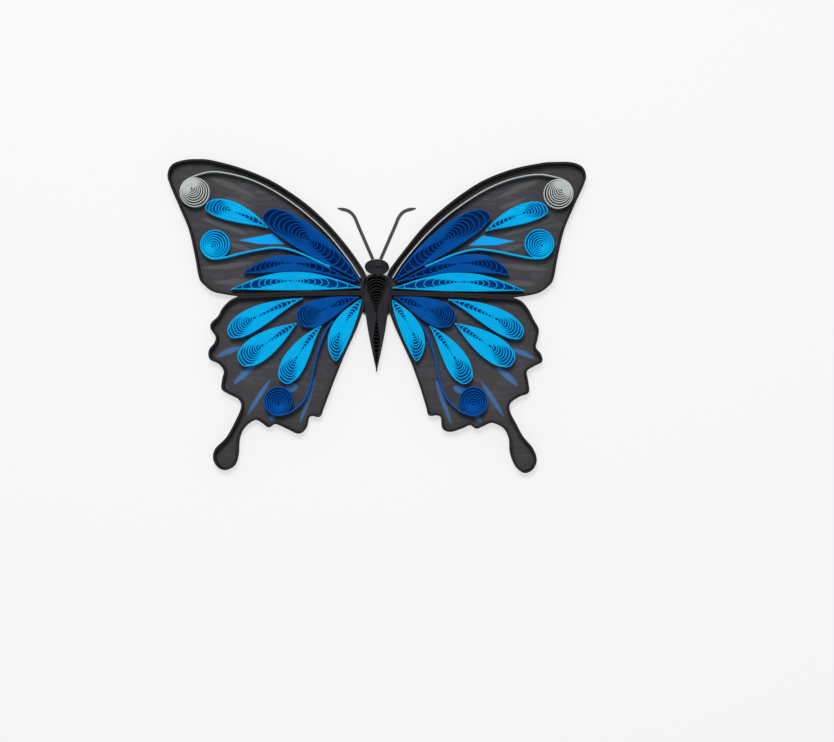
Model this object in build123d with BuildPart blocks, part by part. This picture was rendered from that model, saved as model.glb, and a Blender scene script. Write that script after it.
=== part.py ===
from build123d import *
from dataclasses import dataclass
from functools import partial
from math import atan2, ceil, cos, hypot, pi, radians, sin, sqrt
import os

os.makedirs("parts", exist_ok=True)

# Sizes of the whole butterfly, in millimetres
wing_span = 87.0
wing_depth = 64.7
body_width = 5.1
body_length = 20.0
head_width = 5.35
head_depth = 3.4

# Paper: strips stand on edge, the wing sheets and antennae lie flat
strip_height = 3.0
strip_thickness = 0.2
rim_thickness = 0.5
sheet_thickness = 0.3
glue_gap = 0.05

# Antennae, measured from the middle of the head's front edge
antenna_width = 0.7
antenna_root = 0.45
antenna_spread = 8.2
antenna_rise = 10.6
hook_start = (4.7, 8.9)
hook_bend = (6.0, 10.1)

# Where the leading rims end: in front of the body, and down the side of it
root_tuck = 0.5
root_drop = 1.6

# Small opening left in the middle of the head's tight coil
head_eye_width = 0.6
head_eye_depth = 0.32
eye_run_count = 6

# Landmarks of the flat plan, in picture pixels, from which every plan point is placed
root_column = 364.2
tip_column = 167.0
seam_row = 293.0
apex_row = 160.0
tail_row = 471.5
body_front_row = 275.3

# How many gaps show between the turns of a coil at a pinched tip, a round end and in a scroll
tip_gap_count = 4
round_gap_count = 4
scroll_gap_count = 4

# Where a coil's crescents start and end, as shares of its length, and the plies lost in a fold
near_share = 0.025
horn_share = 0.1
fold_plies = 1.6

# Where turns are pressed together, the most that paper takes of the room between two of them
pressed_share = 0.8

# Shares of a coil's length at which its sides are drawn
side_shares = (0.02, 0.08, 0.2, 0.38, 0.6, 0.82, 0.95)

# A scroll's crescents: how far they reach each way from their widest point, and their short runs
crescent_reach = radians(60)
crescent_run_count = 4

# Curves are drawn as short straight runs: the largest turn between two runs, and the largest sag
run_turn = radians(28)
run_sag = 0.035
round_run_count = 28

# At a sharp corner a moved side keeps at least this cosine, so that the corner stays short
corner_limit = 0.6

# Outlines of the wings in plan pixels, read on the left and, turned over, on the right.
# Each pair of wings shares its seam, given from the body outwards.
seams = {
    "left": [(305.0, 293.4), (238.0, 296.3)],
    "right": [(300.0, 294.8), (240.0, 297.4)],
}
forewing_edges = {
    "left": [
        (224.0, 294.2), (212.5, 291.6), (204.5, 285.5), (199.0, 278.0), (194.7, 255.5), (188.8, 230.0),
        (179.0, 206.4), (169.5, 184.0), (167.4, 174.0), (172.0, 164.4), (184.0, 160.0), (198.0, 159.0),
        (212.0, 160.2), (240.0, 167.6), (268.0, 178.8), (290.0, 191.9), (310.0, 206.6), (330.0, 225.6),
        (350.0, 249.3),
    ],
    "right": [
        (226.0, 295.6), (213.5, 292.6), (205.0, 286.8), (199.5, 279.0), (195.2, 257.0), (188.8, 230.0),
        (178.5, 205.5), (168.8, 184.0), (166.9, 175.0), (171.0, 166.4), (182.0, 162.2), (198.0, 161.9),
        (212.0, 163.0), (240.0, 168.8), (268.0, 179.4), (290.0, 192.8), (310.0, 208.2), (330.0, 226.6),
        (350.0, 251.0),
    ],
}
hindwing_edges = {
    "left": [
        (229.5, 300.6), (222.0, 308.5), (218.0, 316.0), (211.0, 323.0), (210.6, 329.0), (215.6, 336.8),
        (214.0, 343.0), (208.6, 350.5), (209.6, 359.2), (218.5, 364.0), (223.6, 371.0), (222.0, 379.5),
        (221.6, 389.2), (229.5, 394.6), (238.5, 399.6), (240.9, 407.5), (234.0, 423.5), (226.0, 437.4),
        (215.0, 448.8), (213.0, 459.0), (218.0, 467.6), (226.0, 470.3), (234.2, 465.8), (238.0, 455.5),
        (239.4, 438.5), (244.8, 427.3), (255.0, 420.3), (262.5, 423.4), (268.6, 427.7), (275.5, 424.3),
        (287.0, 429.0), (299.0, 434.0), (306.3, 428.0), (309.0, 418.0), (313.0, 416.2), (319.8, 417.2),
    ],
    "right": [
        (231.5, 301.0), (224.5, 309.2), (219.0, 320.0), (214.2, 329.0), (215.4, 339.0), (217.0, 347.2),
        (212.0, 354.0), (210.8, 361.8), (219.5, 366.6), (226.0, 371.6), (224.8, 381.0), (224.2, 392.6),
        (233.5, 396.8), (242.3, 403.2), (242.8, 411.5), (236.5, 424.0), (230.0, 436.0), (219.8, 448.5),
        (216.2, 460.0), (220.2, 469.6), (229.0, 473.2), (237.6, 466.5), (243.0, 453.0), (244.2, 438.5),
        (249.6, 428.4), (261.0, 423.1), (269.5, 426.2), (277.0, 428.9), (283.0, 425.4), (291.0, 428.6),
        (303.0, 432.1), (311.0, 428.4), (312.4, 418.0), (316.5, 415.5), (324.5, 415.8),
    ],
}

# Inner edge of each hindwing, from its lower corner up towards the body
inner_edges = {
    "left": [(322.9, 410.5), (333.6, 382.0), (343.2, 358.0), (357.2, 327.6), (364.2, 308.0)],
    "right": [(326.8, 408.5), (333.0, 388.0), (341.6, 364.0), (358.2, 328.0), (364.2, 312.5)],
}


@dataclass(frozen=True)
class Coil:
    """A coil pinched at its tip. Each side is its widest offset, end roundness and tip taper."""

    name: str
    ends: dict
    tips: dict
    upper: tuple
    lower: tuple
    eye: float
    turns: int
    crowding: float = 1.0
    pointed_end: bool = False


@dataclass(frozen=True)
class Scroll:
    """A loose round coil with its eye off centre, and the strip that runs on from it."""

    name: str
    centres: dict
    eye_offset: tuple
    radius: float
    turns: int
    tails: dict


# Pinched coils of the forewing and the hindwing, in plan pixels
coils = [
    Coil("upper_drop", {"left": (205.6, 207.2), "right": (205.3, 209.8)},
         {"left": (268.0, 227.9), "right": (267.6, 231.2)},
         (13.9, 0.45, 0.86), (5.6, 0.45, 1.4), 0.27, 9),
    Coil("large_leaf", {"left": (263.2, 215.4)}, {"left": (359.4, 281.2)},
         (19.0, 0.40, 0.8), (8.2, 0.50, 1.3), 0.45, 13),
    Coil("large_leaf", {"right": (262.9, 215.8)}, {"right": (358.4, 281.0)},
         (18.2, 0.40, 0.8), (6.9, 0.50, 1.3), 0.45, 13),
    Coil("curved_leaf", {"left": (243.5, 272.8)}, {"left": (356.0, 281.2)},
         (21.0, 1.00, 1.4), (-6.2, 2.00, 1.5), 0.42, 12, 1.6, True),
    Coil("curved_leaf", {"right": (244.2, 275.0)}, {"right": (356.0, 281.8)},
         (23.1, 0.65, 1.2), (-5.8, 1.10, 1.2), 0.42, 12, 1.6, True),
    Coil("long_leaf", {"left": (231.0, 289.3), "right": (228.8, 290.8)},
         {"left": (360.8, 287.6), "right": (360.8, 288.0)},
         (16.6, 1.10, 1.2), (1.8, 1.40, 1.1), 0.47, 12, 2.0, True),
    Coil("outer_drop", {"left": (229.0, 334.8), "right": (230.8, 335.9)},
         {"left": (302.8, 298.5), "right": (304.9, 299.5)},
         (14.5, 0.47, 0.96), (8.4, 0.47, 1.6), 0.37, 12),
    Coil("middle_drop", {"left": (240.0, 362.5), "right": (240.3, 363.3)},
         {"left": (296.5, 323.4), "right": (298.3, 323.4)},
         (13.4, 0.45, 0.95), (11.8, 0.47, 1.05), 0.43, 11),
    Coil("inner_drop", {"left": (282.8, 382.0), "right": (284.6, 382.2)},
         {"left": (321.6, 326.0), "right": (323.8, 326.2)},
         (13.2, 0.48, 0.85), (10.0, 0.47, 1.5), 0.43, 11),
    Coil("body_drop", {"left": (335.5, 360.6), "right": (336.1, 360.8)},
         {"left": (360.8, 299.6), "right": (360.6, 300.2)},
         (16.4, 0.69, 1.0), (4.2, 0.40, 0.5), 0.42, 10),
    Coil("royal_drop", {"left": (298.3, 321.0), "right": (299.4, 321.0)},
         {"left": (359.0, 297.2), "right": (359.4, 297.2)},
         (13.8, 0.37, 1.0), (12.0, 0.54, 1.5), 0.45, 13),
]

# Loose scrolls and their tails, in plan pixels
scrolls = [
    Scroll("silver_scroll", {"left": (195.1, 192.2), "right": (195.1, 193.8)}, (-3.0, -3.5), 15.4, 10,
           {"left": [(190.0, 178.6), (200.0, 174.2), (213.0, 171.8), (230.0, 173.9), (250.0, 179.4),
                     (270.0, 188.6), (290.0, 201.2), (310.0, 216.9), (330.0, 236.2), (350.0, 261.4),
                     (360.6, 277.6)],
            "right": [(190.0, 180.4), (200.0, 176.6), (213.0, 174.6), (230.0, 176.4), (250.0, 182.0),
                      (270.0, 191.2), (290.0, 203.8), (310.0, 219.0), (330.0, 238.2), (350.0, 261.8),
                      (360.6, 278.0)]}),
    Scroll("sky_scroll", {"left": (215.5, 244.6), "right": (214.2, 244.0)}, (-2.2, 1.0), 15.2, 9,
           {"left": [(212.0, 258.6), (224.0, 257.6), (240.0, 253.6), (258.0, 249.8), (275.0, 247.6),
                     (290.0, 249.6), (305.0, 255.2), (319.0, 261.7), (330.0, 266.9)],
            "right": [(210.4, 258.0), (222.5, 258.0), (240.0, 254.8), (258.0, 251.2), (275.0, 249.3),
                      (290.0, 251.8), (305.0, 256.7), (317.0, 261.9), (328.0, 266.4)]}),
    Scroll("royal_scroll", {"left": (278.8, 401.0), "right": (280.0, 401.2)}, (-0.6, 3.2), 14.9, 9,
           {"left": [(282.0, 414.2), (293.0, 410.6), (304.0, 400.4), (310.6, 384.6), (315.0, 363.0),
                     (320.0, 345.5), (327.0, 328.8), (333.0, 321.4)],
            "right": [(283.0, 414.2), (294.0, 410.2), (305.4, 399.6), (312.4, 384.6), (317.0, 363.0),
                      (322.0, 345.5), (328.6, 329.6), (334.4, 322.4)]}),
]

# Values that follow from the sizes above
wing_root = body_width / 2 + glue_gap
across_scale = (wing_span / 2 - wing_root) / (root_column - tip_column)
along_scale = wing_depth / (tail_row - apex_row)
plan_scale = min(across_scale, along_scale)
ply = strip_thickness / plan_scale
body_front = (seam_row - body_front_row) * along_scale
head_middle = body_front + glue_gap + head_depth / 2
sides = {"left": -1, "right": 1}


def place(point, side):
    """Turn a plan point of one side into millimetres from the middle of the body."""
    column, row = point
    across = wing_root + (root_column - column) * across_scale
    return (sides[side] * across, (seam_row - row) * along_scale)


def oval(half_width, half_depth, middle, runs):
    """Points round an oval in the middle of the butterfly, in millimetres."""
    turns = [2 * pi * run / runs for run in range(runs)]
    return [(half_width * cos(turn), middle + half_depth * sin(turn)) for turn in turns]


def swell(share, width, roundness, taper):
    """Offset of a coil's side from its axis, at a share of the way from end to tip."""
    widest = roundness / (roundness + taper)
    return width * (share / widest) ** roundness * ((1 - share) / (1 - widest)) ** taper


def coil_point(coil, side, share, across):
    """A plan point at a share of the coil's axis, and so many pixels above it."""
    (end_x, end_y), (tip_x, tip_y) = coil.ends[side], coil.tips[side]
    length = hypot(tip_x - end_x, tip_y - end_y)
    along_x, along_y = (tip_x - end_x) / length, (tip_y - end_y) / length
    return (end_x + along_x * length * share + along_y * across,
            end_y + along_y * length * share - along_x * across)


def smooth(points):
    """Short runs along a smooth curve through the points, shorter where it bends more."""
    line = [points[0]]
    for index in range(len(points) - 1):
        before = points[max(index - 1, 0)]
        start, finish = points[index], points[index + 1]
        after = points[min(index + 2, len(points) - 1)]
        leaving = (finish[0] - before[0], finish[1] - before[1])
        arriving = (after[0] - start[0], after[1] - start[1])
        bend = abs(atan2(leaving[0] * arriving[1] - leaving[1] * arriving[0],
                         leaving[0] * arriving[0] + leaving[1] * arriving[1]))
        chord = hypot(finish[0] - start[0], finish[1] - start[1])
        steps = max(1, ceil(bend / run_turn), ceil(sqrt(chord * bend / (8 * run_sag))))
        for step in range(1, steps + 1):
            t = step / steps
            line.append(tuple(
                0.5 * (2 * start[k] + (finish[k] - before[k]) * t
                       + (2 * before[k] - 5 * start[k] + 4 * finish[k] - after[k]) * t ** 2
                       + (3 * start[k] - before[k] - 3 * finish[k] + after[k]) * t ** 3)
                for k in (0, 1)))
    return line


def coil_outline(coil, side, put):
    """The closed outline of a coil, in millimetres, with a corner at each pinched fold."""
    upper = [put(coil_point(coil, side, share, swell(share, *coil.upper))) for share in side_shares]
    lower = [put(coil_point(coil, side, share, -swell(share, *coil.lower))) for share in side_shares]
    end, tip = put(coil.ends[side]), put(coil.tips[side])
    if coil.pointed_end:
        return smooth([end, *upper, tip])[:-1] + smooth([tip, *lower[::-1], end])[:-1]
    return smooth([tip, *upper[::-1], end, *lower, tip])[:-1]


def coil_length(coil, side):
    """Distance from the end to the tip, in plan pixels."""
    return hypot(coil.tips[side][0] - coil.ends[side][0], coil.tips[side][1] - coil.ends[side][1])


def middle_line(coil, share):
    """How far the line midway between the coil's two sides lies above its axis."""
    return (swell(share, *coil.upper) - swell(share, *coil.lower)) / 2


def pinched_gap(coil, side, count, far):
    """The chevron left open between two turns where the coil is pinched."""
    outward = 1 if far > coil.eye else -1

    def fold(number):
        return coil.eye + (far - coil.eye) * (1 - number / coil.turns) ** coil.crowding

    front = fold(count - 1) - outward * fold_plies * ply / coil_length(coil, side)
    back = fold(count)
    nose = (front + 2 * back) / 3
    room = (swell(back, *coil.upper) + swell(back, *coil.lower)) / 2
    opening = max(room - count * ply, ply / 2)
    return [coil_point(coil, side, front, middle_line(coil, front)),
            coil_point(coil, side, back, middle_line(coil, back) + opening),
            coil_point(coil, side, nose, middle_line(coil, nose)),
            coil_point(coil, side, back, middle_line(coil, back) - opening)]


def round_gap(coil, side, count):
    """The crescent left open between two turns at the coil's round end."""
    length = coil_length(coil, side)
    eye = Vector(coil.eye * length, middle_line(coil, coil.eye))
    upper_near = Vector(near_share * length, swell(near_share, *coil.upper))
    lower_near = Vector(near_share * length, -swell(near_share, *coil.lower))
    upper_horn = Vector(horn_share * length, swell(horn_share, *coil.upper))
    lower_horn = Vector(horn_share * length, -swell(horn_share, *coil.lower))
    ahead = Vector(1, 0)
    upper_inward = upper_horn.rotate(Axis.Z, -90).normalized()
    lower_inward = lower_horn.rotate(Axis.Z, 90).normalized()

    def turn(point, number):
        return eye + (point - eye) * (1 - number / coil.turns)

    def paper(point, inward):
        room = (eye - point).dot(inward) / coil.turns
        return inward * min(ply, pressed_share * room)

    corners = [turn(upper_horn, count - 0.5) + paper(upper_horn, upper_inward) / 2,
               turn(upper_near, count - 1) + paper(upper_near, (ahead + upper_inward).normalized()),
               turn(Vector(0, 0), count - 1) + paper(Vector(0, 0), ahead),
               turn(lower_near, count - 1) + paper(lower_near, (ahead + lower_inward).normalized()),
               turn(lower_horn, count - 0.5) + paper(lower_horn, lower_inward) / 2,
               turn(lower_near, count),
               turn(Vector(0, 0), count),
               turn(upper_near, count)]
    return [coil_point(coil, side, corner.X / length, corner.Y) for corner in corners]


def coil_gaps(coil, side):
    """Every gap that shows between the coil's turns."""
    gaps = [pinched_gap(coil, side, count, 1) for count in range(1, tip_gap_count + 1)]
    if coil.pointed_end:
        return gaps + [pinched_gap(coil, side, count, 0) for count in range(1, tip_gap_count + 1)]
    return gaps + [round_gap(coil, side, count) for count in range(1, round_gap_count + 1)]


def scroll_point(scroll, side, point):
    """Place a plan point on a scroll, which stays round about its centre, in millimetres."""
    centre_x, centre_y = place(scroll.centres[side], side)
    column, row = scroll.centres[side]
    return (centre_x - sides[side] * (point[0] - column) * plan_scale,
            centre_y - (point[1] - row) * plan_scale)


def scroll_gap(scroll, side, count):
    """The crescent between two turns of a scroll, widest away from the side its eye is on."""
    offset_x, offset_y = scroll.eye_offset
    away = atan2(-offset_y, -offset_x)
    centre_x, centre_y = scroll.centres[side]

    def turn(number, inset, angle):
        share = number / scroll.turns
        radius = scroll.radius * (1 - share) - inset
        return (centre_x + offset_x * share + radius * cos(away + angle),
                centre_y + offset_y * share + radius * sin(away + angle))

    step = 2 * crescent_reach / crescent_run_count
    outer = [turn(count - 1, ply, run * step - crescent_reach) for run in range(crescent_run_count + 1)]
    inner = [turn(count, 0, crescent_reach - (run + 0.5) * step) for run in range(crescent_run_count)]
    return outer + inner


def ribbon(points, width):
    """The two long sides of a strip that follows a line of plan points."""
    left, right = [], []
    for index, (x, y) in enumerate(points):
        before = points[max(index - 1, 0)]
        after = points[min(index + 1, len(points) - 1)]
        run = hypot(after[0] - before[0], after[1] - before[1])
        shift_x = (after[1] - before[1]) / run * width / 2
        shift_y = -(after[0] - before[0]) / run * width / 2
        left.append((x + shift_x, y + shift_y))
        right.append((x - shift_x, y - shift_y))
    return left, right


def inset(points, distance):
    """Move each point of a closed outline inwards, so that its sides move by the distance."""
    area = sum(a[0] * b[1] - b[0] * a[1] for a, b in zip(points, points[1:] + points[:1]))
    turn = 1 if area > 0 else -1
    moved = []
    for before, point, after in zip(points[-1:] + points[:-1], points, points[1:] + points[:1]):
        arriving = Vector(point[0] - before[0], point[1] - before[1]).normalized()
        leaving = Vector(after[0] - point[0], after[1] - point[1]).normalized()
        across = (arriving + leaving).normalized().rotate(Axis.Z, 90 * turn)
        step = distance / max(across.dot(arriving.rotate(Axis.Z, 90 * turn)), corner_limit)
        moved.append((point[0] + across.X * step, point[1] + across.Y * step))
    return moved


def wing_line(points, seam_count, inner_count):
    """The line round a wing: its straight seam, its smooth cut edge and the edge by the body."""
    curve = smooth(points[seam_count - 1:len(points) - inner_count + 1])
    return [*points[:seam_count - 1], *curve, *points[len(points) - inner_count + 1:]]


def make_wing(name, side, edge, inner):
    """The rim of a wing, standing on edge, and the flat sheet inside it."""
    seam = [(sides[side] * wing_root, 0), *[place(point, side) for point in seams[side]]]
    points = [*seam, *[place(point, side) for point in edge], *inner]
    outline = wing_line(points, len(seam), len(inner))
    inside = wing_line(inset(points, rim_thickness), len(seam), len(inner))
    with BuildPart() as rim:
        with BuildSketch():
            with BuildLine():
                Polyline(*outline, close=True)
            make_face()
            with BuildLine():
                Polyline(*inside, close=True)
            make_face(mode=Mode.SUBTRACT)
        extrude(amount=strip_height)
    rim.part.label = f"{side}_{name}_rim"
    export_step(rim.part, f"parts/{rim.part.label}.step")
    with BuildPart() as sheet:
        with BuildSketch():
            with BuildLine():
                Polyline(*inside, close=True)
            make_face()
        extrude(amount=sheet_thickness)
    sheet.part.label = f"{side}_{name}_sheet"
    export_step(sheet.part, f"parts/{sheet.part.label}.step")


def make_coil(label, coil, side, put, base):
    """One closed coil with the gaps between its turns cut right through."""
    with BuildPart() as piece:
        with BuildSketch(Plane.XY.offset(base)):
            with BuildLine():
                Polyline(*coil_outline(coil, side, put), close=True)
            make_face()
            for gap in coil_gaps(coil, side):
                with BuildLine():
                    Polyline(*[put(point) for point in gap], close=True)
                make_face(mode=Mode.SUBTRACT)
        extrude(amount=strip_height)
    piece.part.label = label
    export_step(piece.part, f"parts/{label}.step")


def make_scroll(scroll, side):
    """A round scroll on the sheet, with the end of its strip running on as a curve."""
    on_scroll, *onwards = scroll.tails[side]
    tail = [scroll_point(scroll, side, on_scroll), *[place(point, side) for point in onwards]]
    upper, lower = ribbon(smooth(tail), strip_thickness)
    with BuildPart() as piece:
        with BuildSketch(Plane.XY.offset(sheet_thickness)):
            with Locations(place(scroll.centres[side], side)):
                RegularPolygon(scroll.radius * plan_scale, round_run_count)
            with BuildLine():
                Polyline(*upper, *lower[::-1], close=True)
            make_face()
            for count in range(1, scroll_gap_count + 1):
                corners = [scroll_point(scroll, side, point) for point in scroll_gap(scroll, side, count)]
                with BuildLine():
                    Polyline(*corners, close=True)
                make_face(mode=Mode.SUBTRACT)
        extrude(amount=strip_height)
    piece.part.label = f"{side}_{scroll.name}"
    export_step(piece.part, f"parts/{piece.part.label}.step")


# Wings, with the leading edge of each forewing kept clear of the head
for side, sign in sides.items():
    head_side = (sign * (head_width / 2 + glue_gap), head_middle - head_depth / 8)
    root_corner = (sign * (wing_root - root_tuck), body_front)
    root_foot = (sign * wing_root, body_front - root_drop)
    make_wing("forewing", side, forewing_edges[side], [head_side, root_corner, root_foot])
    inner = [place(point, side) for point in inner_edges[side]]
    make_wing("hindwing", side, hindwing_edges[side], inner)

# Coils and scrolls on the sheets
for coil in coils:
    for side in coil.ends:
        make_coil(f"{side}_{coil.name}", coil, side, partial(place, side=side), sheet_thickness)
for scroll in scrolls:
    for side in scroll.centres:
        make_scroll(scroll, side)

# Body, a long coil between the wings, pinched at its tail
body_side = (body_width / 2 / plan_scale, 0.28, 1.05)
body = Coil("body_coil", {"middle": (0, 0)}, {"middle": (0, body_length / plan_scale)},
            body_side, body_side, 0.36, 14)


def place_body(point):
    """Turn a point of the body, in plan pixels from its front end, into millimetres."""
    return (point[0] * plan_scale, body_front - point[1] * plan_scale)


make_coil(body.name, body, "middle", place_body, 0)

# Head, a tight oval coil with a small eye left in its middle
with BuildPart() as head_coil:
    with BuildSketch():
        with BuildLine():
            Polyline(*oval(head_width / 2, head_depth / 2, head_middle, round_run_count), close=True)
        make_face()
        with BuildLine():
            Polyline(*oval(head_eye_width / 2, head_eye_depth / 2, head_middle, eye_run_count), close=True)
        make_face(mode=Mode.SUBTRACT)
    extrude(amount=strip_height)
head_coil.part.label = "head_coil"
export_step(head_coil.part, "parts/head_coil.step")

# Antennae, flat strips that butt against the head and hook outwards
head_front = head_middle + head_depth / 2
clear_of_head = oval(head_width / 2 + glue_gap, head_depth / 2 + glue_gap, head_middle, round_run_count)
for side, sign in sides.items():
    root = Vector(sign * antenna_root, head_front - head_depth / 4)
    start = Vector(sign * hook_start[0], head_front + hook_start[1])
    bend = Vector(sign * hook_bend[0], head_front + hook_bend[1])
    tip = Vector(sign * antenna_spread, head_front + antenna_rise)
    outwards = (start - root).normalized().rotate(Axis.Z, -90 * sign) * (antenna_width / 2)
    lift = (tip - start).normalized().rotate(Axis.Z, 90 * sign) * (antenna_width / 2)
    with BuildPart() as antenna:
        with BuildSketch():
            with BuildLine():
                Line(root + outwards, start + outwards)
                ThreePointArc(start + outwards, bend - lift, tip)
                ThreePointArc(tip, bend + lift, start - outwards)
                Polyline(start - outwards, root - outwards, root + outwards)
            make_face()
            with BuildLine():
                Polyline(*clear_of_head, close=True)
            make_face(mode=Mode.SUBTRACT)
        extrude(amount=sheet_thickness)
    antenna.part.label = f"{side}_antenna"
    export_step(antenna.part, f"parts/{side}_antenna.step")
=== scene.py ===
"""Looks of a quilled paper butterfly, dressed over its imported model."""

from __future__ import annotations

import logging
import math
import random
from dataclasses import dataclass, replace
from enum import Enum
from typing import Any, Sequence

import bmesh
import bpy
import numpy as np
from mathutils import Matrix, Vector

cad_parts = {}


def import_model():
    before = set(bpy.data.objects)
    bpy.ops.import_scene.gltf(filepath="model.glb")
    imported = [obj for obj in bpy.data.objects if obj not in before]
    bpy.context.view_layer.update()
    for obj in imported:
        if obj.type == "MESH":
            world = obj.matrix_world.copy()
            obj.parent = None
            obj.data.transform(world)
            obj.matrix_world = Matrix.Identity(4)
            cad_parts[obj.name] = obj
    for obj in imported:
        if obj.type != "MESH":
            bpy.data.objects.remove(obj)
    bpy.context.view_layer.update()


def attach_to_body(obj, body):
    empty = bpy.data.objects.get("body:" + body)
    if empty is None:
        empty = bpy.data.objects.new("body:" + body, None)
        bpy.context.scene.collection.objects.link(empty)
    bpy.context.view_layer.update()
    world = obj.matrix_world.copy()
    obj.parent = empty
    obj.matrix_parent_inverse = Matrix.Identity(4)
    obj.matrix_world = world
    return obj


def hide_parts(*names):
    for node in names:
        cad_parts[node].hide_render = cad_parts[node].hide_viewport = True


log = logging.getLogger("butterfly")

MILLIMETRE = 0.001
# How deep the grain of the papers is, in metres
GRAIN_DEPTH = 0.00003
Point = tuple[float, float]
Pair = tuple[float, float]
Triple = tuple[float, float, float]
Colour = tuple[float, float, float]
BLANK: Colour = (0.0, 0.0, 0.0)


class Side(Enum):
    """The two halves of the butterfly, as the sign of their x."""

    LEFT = -1
    RIGHT = 1

    @property
    def word(self) -> str:
        """The side's name as the nodes spell it."""
        return self.name.lower()


def paint(red: int, green: int, blue: int) -> Colour:
    """Turn a colour as a screen shows it, 0 to 255, into the light that a shader takes."""
    shown = (red / 255, green / 255, blue / 255)
    return tuple(c / 12.92 if c <= 0.04045 else ((c + 0.055) / 1.055) ** 2.4 for c in shown)


class Paper(Enum):
    """The papers that the coils are wound from, each by its material slot."""

    LIGHT_BLUE = "light_blue_paper"
    DARK_BLUE = "dark_blue_paper"
    SILVER = "silver_paper"
    BLACK = "black_paper"


def both(left: Any, right: Any) -> dict[Side, Any]:
    """What each side has of its own."""
    return {Side.LEFT: left, Side.RIGHT: right}


def ease(value: float, low: float, high: float) -> float:
    """Nought below the low value, one above the high one, and a soft change between."""
    share = min(max((value - low) / (high - low), 0.0), 1.0)
    return share * share * (3 - 2 * share)


class Wire:
    """A node's output that can stand in a written sum."""

    def __init__(self, board: Board, socket: Any) -> None:
        """Hold the socket and the board that it is on."""
        self.board = board
        self.socket = socket

    def __add__(self, other: Any) -> Wire:
        """This plus the other."""
        return self.board.sum("ADD", self, other)

    def __radd__(self, other: Any) -> Wire:
        """The other plus this."""
        return self.board.sum("ADD", other, self)

    def __sub__(self, other: Any) -> Wire:
        """This less the other."""
        return self.board.sum("SUBTRACT", self, other)

    def __rsub__(self, other: Any) -> Wire:
        """The other less this."""
        return self.board.sum("SUBTRACT", other, self)

    def __mul__(self, other: Any) -> Wire:
        """This times the other."""
        return self.board.sum("MULTIPLY", self, other)

    def __truediv__(self, other: Any) -> Wire:
        """This over the other."""
        return self.board.sum("DIVIDE", self, other)

    def __gt__(self, other: Any) -> Wire:
        """One where this is the greater, else nought."""
        return self.board.sum("GREATER_THAN", self, other)


class Board:
    """A node tree under construction, for a shader or for geometry."""

    def __init__(self, tree: bpy.types.NodeTree) -> None:
        """Start on an empty tree."""
        self.tree = tree
        tree.nodes.clear()

    def node(self, kind: str, settings: dict[str, Any] | None = None,
             inputs: dict[Any, Any] | None = None) -> bpy.types.Node:
        """Add a node.

        Args:
            kind: The node's type name.
            settings: Its properties, set before its sockets are.
            inputs: Values or wires, by the socket's name or number.

        Returns:
            The new node.
        """
        made = self.tree.nodes.new(kind)
        for name, value in (settings or {}).items():
            setattr(made, name, value)
        for name, value in (inputs or {}).items():
            socket = made.inputs[name] if isinstance(name, int) else self._find(made.inputs, name)
            if isinstance(value, Wire):
                self.tree.links.new(value.socket, socket)
            else:
                socket.default_value = value
        return made

    @staticmethod
    def _find(sockets: Any, name: str) -> Any:
        """The first socket in use that has a name."""
        return next(socket for socket in sockets if socket.name == name and socket.enabled)

    def out(self, made: bpy.types.Node, name: str | int = 0) -> Wire:
        """A node's output as a wire."""
        socket = made.outputs[name] if isinstance(name, int) else self._find(made.outputs, name)
        return Wire(self, socket)

    def wire(self, kind: str, settings: dict[str, Any] | None = None,
             inputs: dict[Any, Any] | None = None, output: str | int = 0) -> Wire:
        """Add a node and return one of its outputs."""
        return self.out(self.node(kind, settings, inputs), output)

    def sum(self, operation: str, *values: Any) -> Wire:
        """Put values through one Math node."""
        return self.wire("ShaderNodeMath", {"operation": operation}, dict(enumerate(values)))

    def smooth_step(self, value: Wire, low: Any, high: Any) -> Wire:
        """Nought below the low value, one above the high one, and a soft change between."""
        return self.wire("ShaderNodeMapRange", {"interpolation_type": "SMOOTHSTEP"},
                         {"Value": value, "From Min": low, "From Max": high})

    def mix(self, factor: Any, first: Any, second: Any, blend: str = "MIX") -> Wire:
        """Mix two colours.

        Args:
            factor: How much of the second is taken.
            first: A colour or a wire.
            second: A colour or a wire.
            blend: The way they are mixed.

        Returns:
            The mixed colour.
        """
        return self.wire("ShaderNodeMix", {"data_type": "RGBA", "blend_type": blend},
                         {"Factor": factor, "A": self._opaque(first), "B": self._opaque(second)},
                         "Result")

    @staticmethod
    def _opaque(colour: Any) -> Any:
        """A written colour with its alpha, or a wire as it is."""
        return (*colour, 1.0) if isinstance(colour, tuple) else colour

    def noise(self, where: Wire, scale: float, detail: float, rough: float) -> Wire:
        """A noise pattern, about one half on average."""
        return self.wire("ShaderNodeTexNoise", None,
                         {"Vector": where, "Scale": scale, "Detail": detail, "Roughness": rough})

    def vector(self, x: Any = 0.0, y: Any = 0.0, z: Any = 0.0) -> Wire:
        """A vector of three parts."""
        return self.wire("ShaderNodeCombineXYZ", None, {"X": x, "Y": y, "Z": z})

    def vectors(self, operation: str, first: Any, second: Any) -> Wire:
        """Put two vectors through one Vector Math node."""
        return self.wire("ShaderNodeVectorMath", {"operation": operation}, {0: first, 1: second})

    def part(self, vector: Wire, axis: str) -> Wire:
        """One part of a vector."""
        return self.wire("ShaderNodeSeparateXYZ", None, {0: vector}, axis)

    def shaded(self, colour: Any, level: Wire) -> Wire:
        """A colour made lighter or darker by a level of about one."""
        return self.mix(1.0, colour, self.vector(level, level, level), "MULTIPLY")

    def grain(self, strength: float, height: Wire) -> Wire:
        """The bumps of a paper's grain, as a normal."""
        return self.wire("ShaderNodeBump", None,
                         {"Strength": strength, "Distance": GRAIN_DEPTH, "Height": height})

    def cover(self, inputs: dict[str, Any]) -> None:
        """Finish a material with a principled surface."""
        skin = self.wire("ShaderNodeBsdfPrincipled", None, inputs)
        self.node("ShaderNodeOutputMaterial", None, {"Surface": skin})


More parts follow.
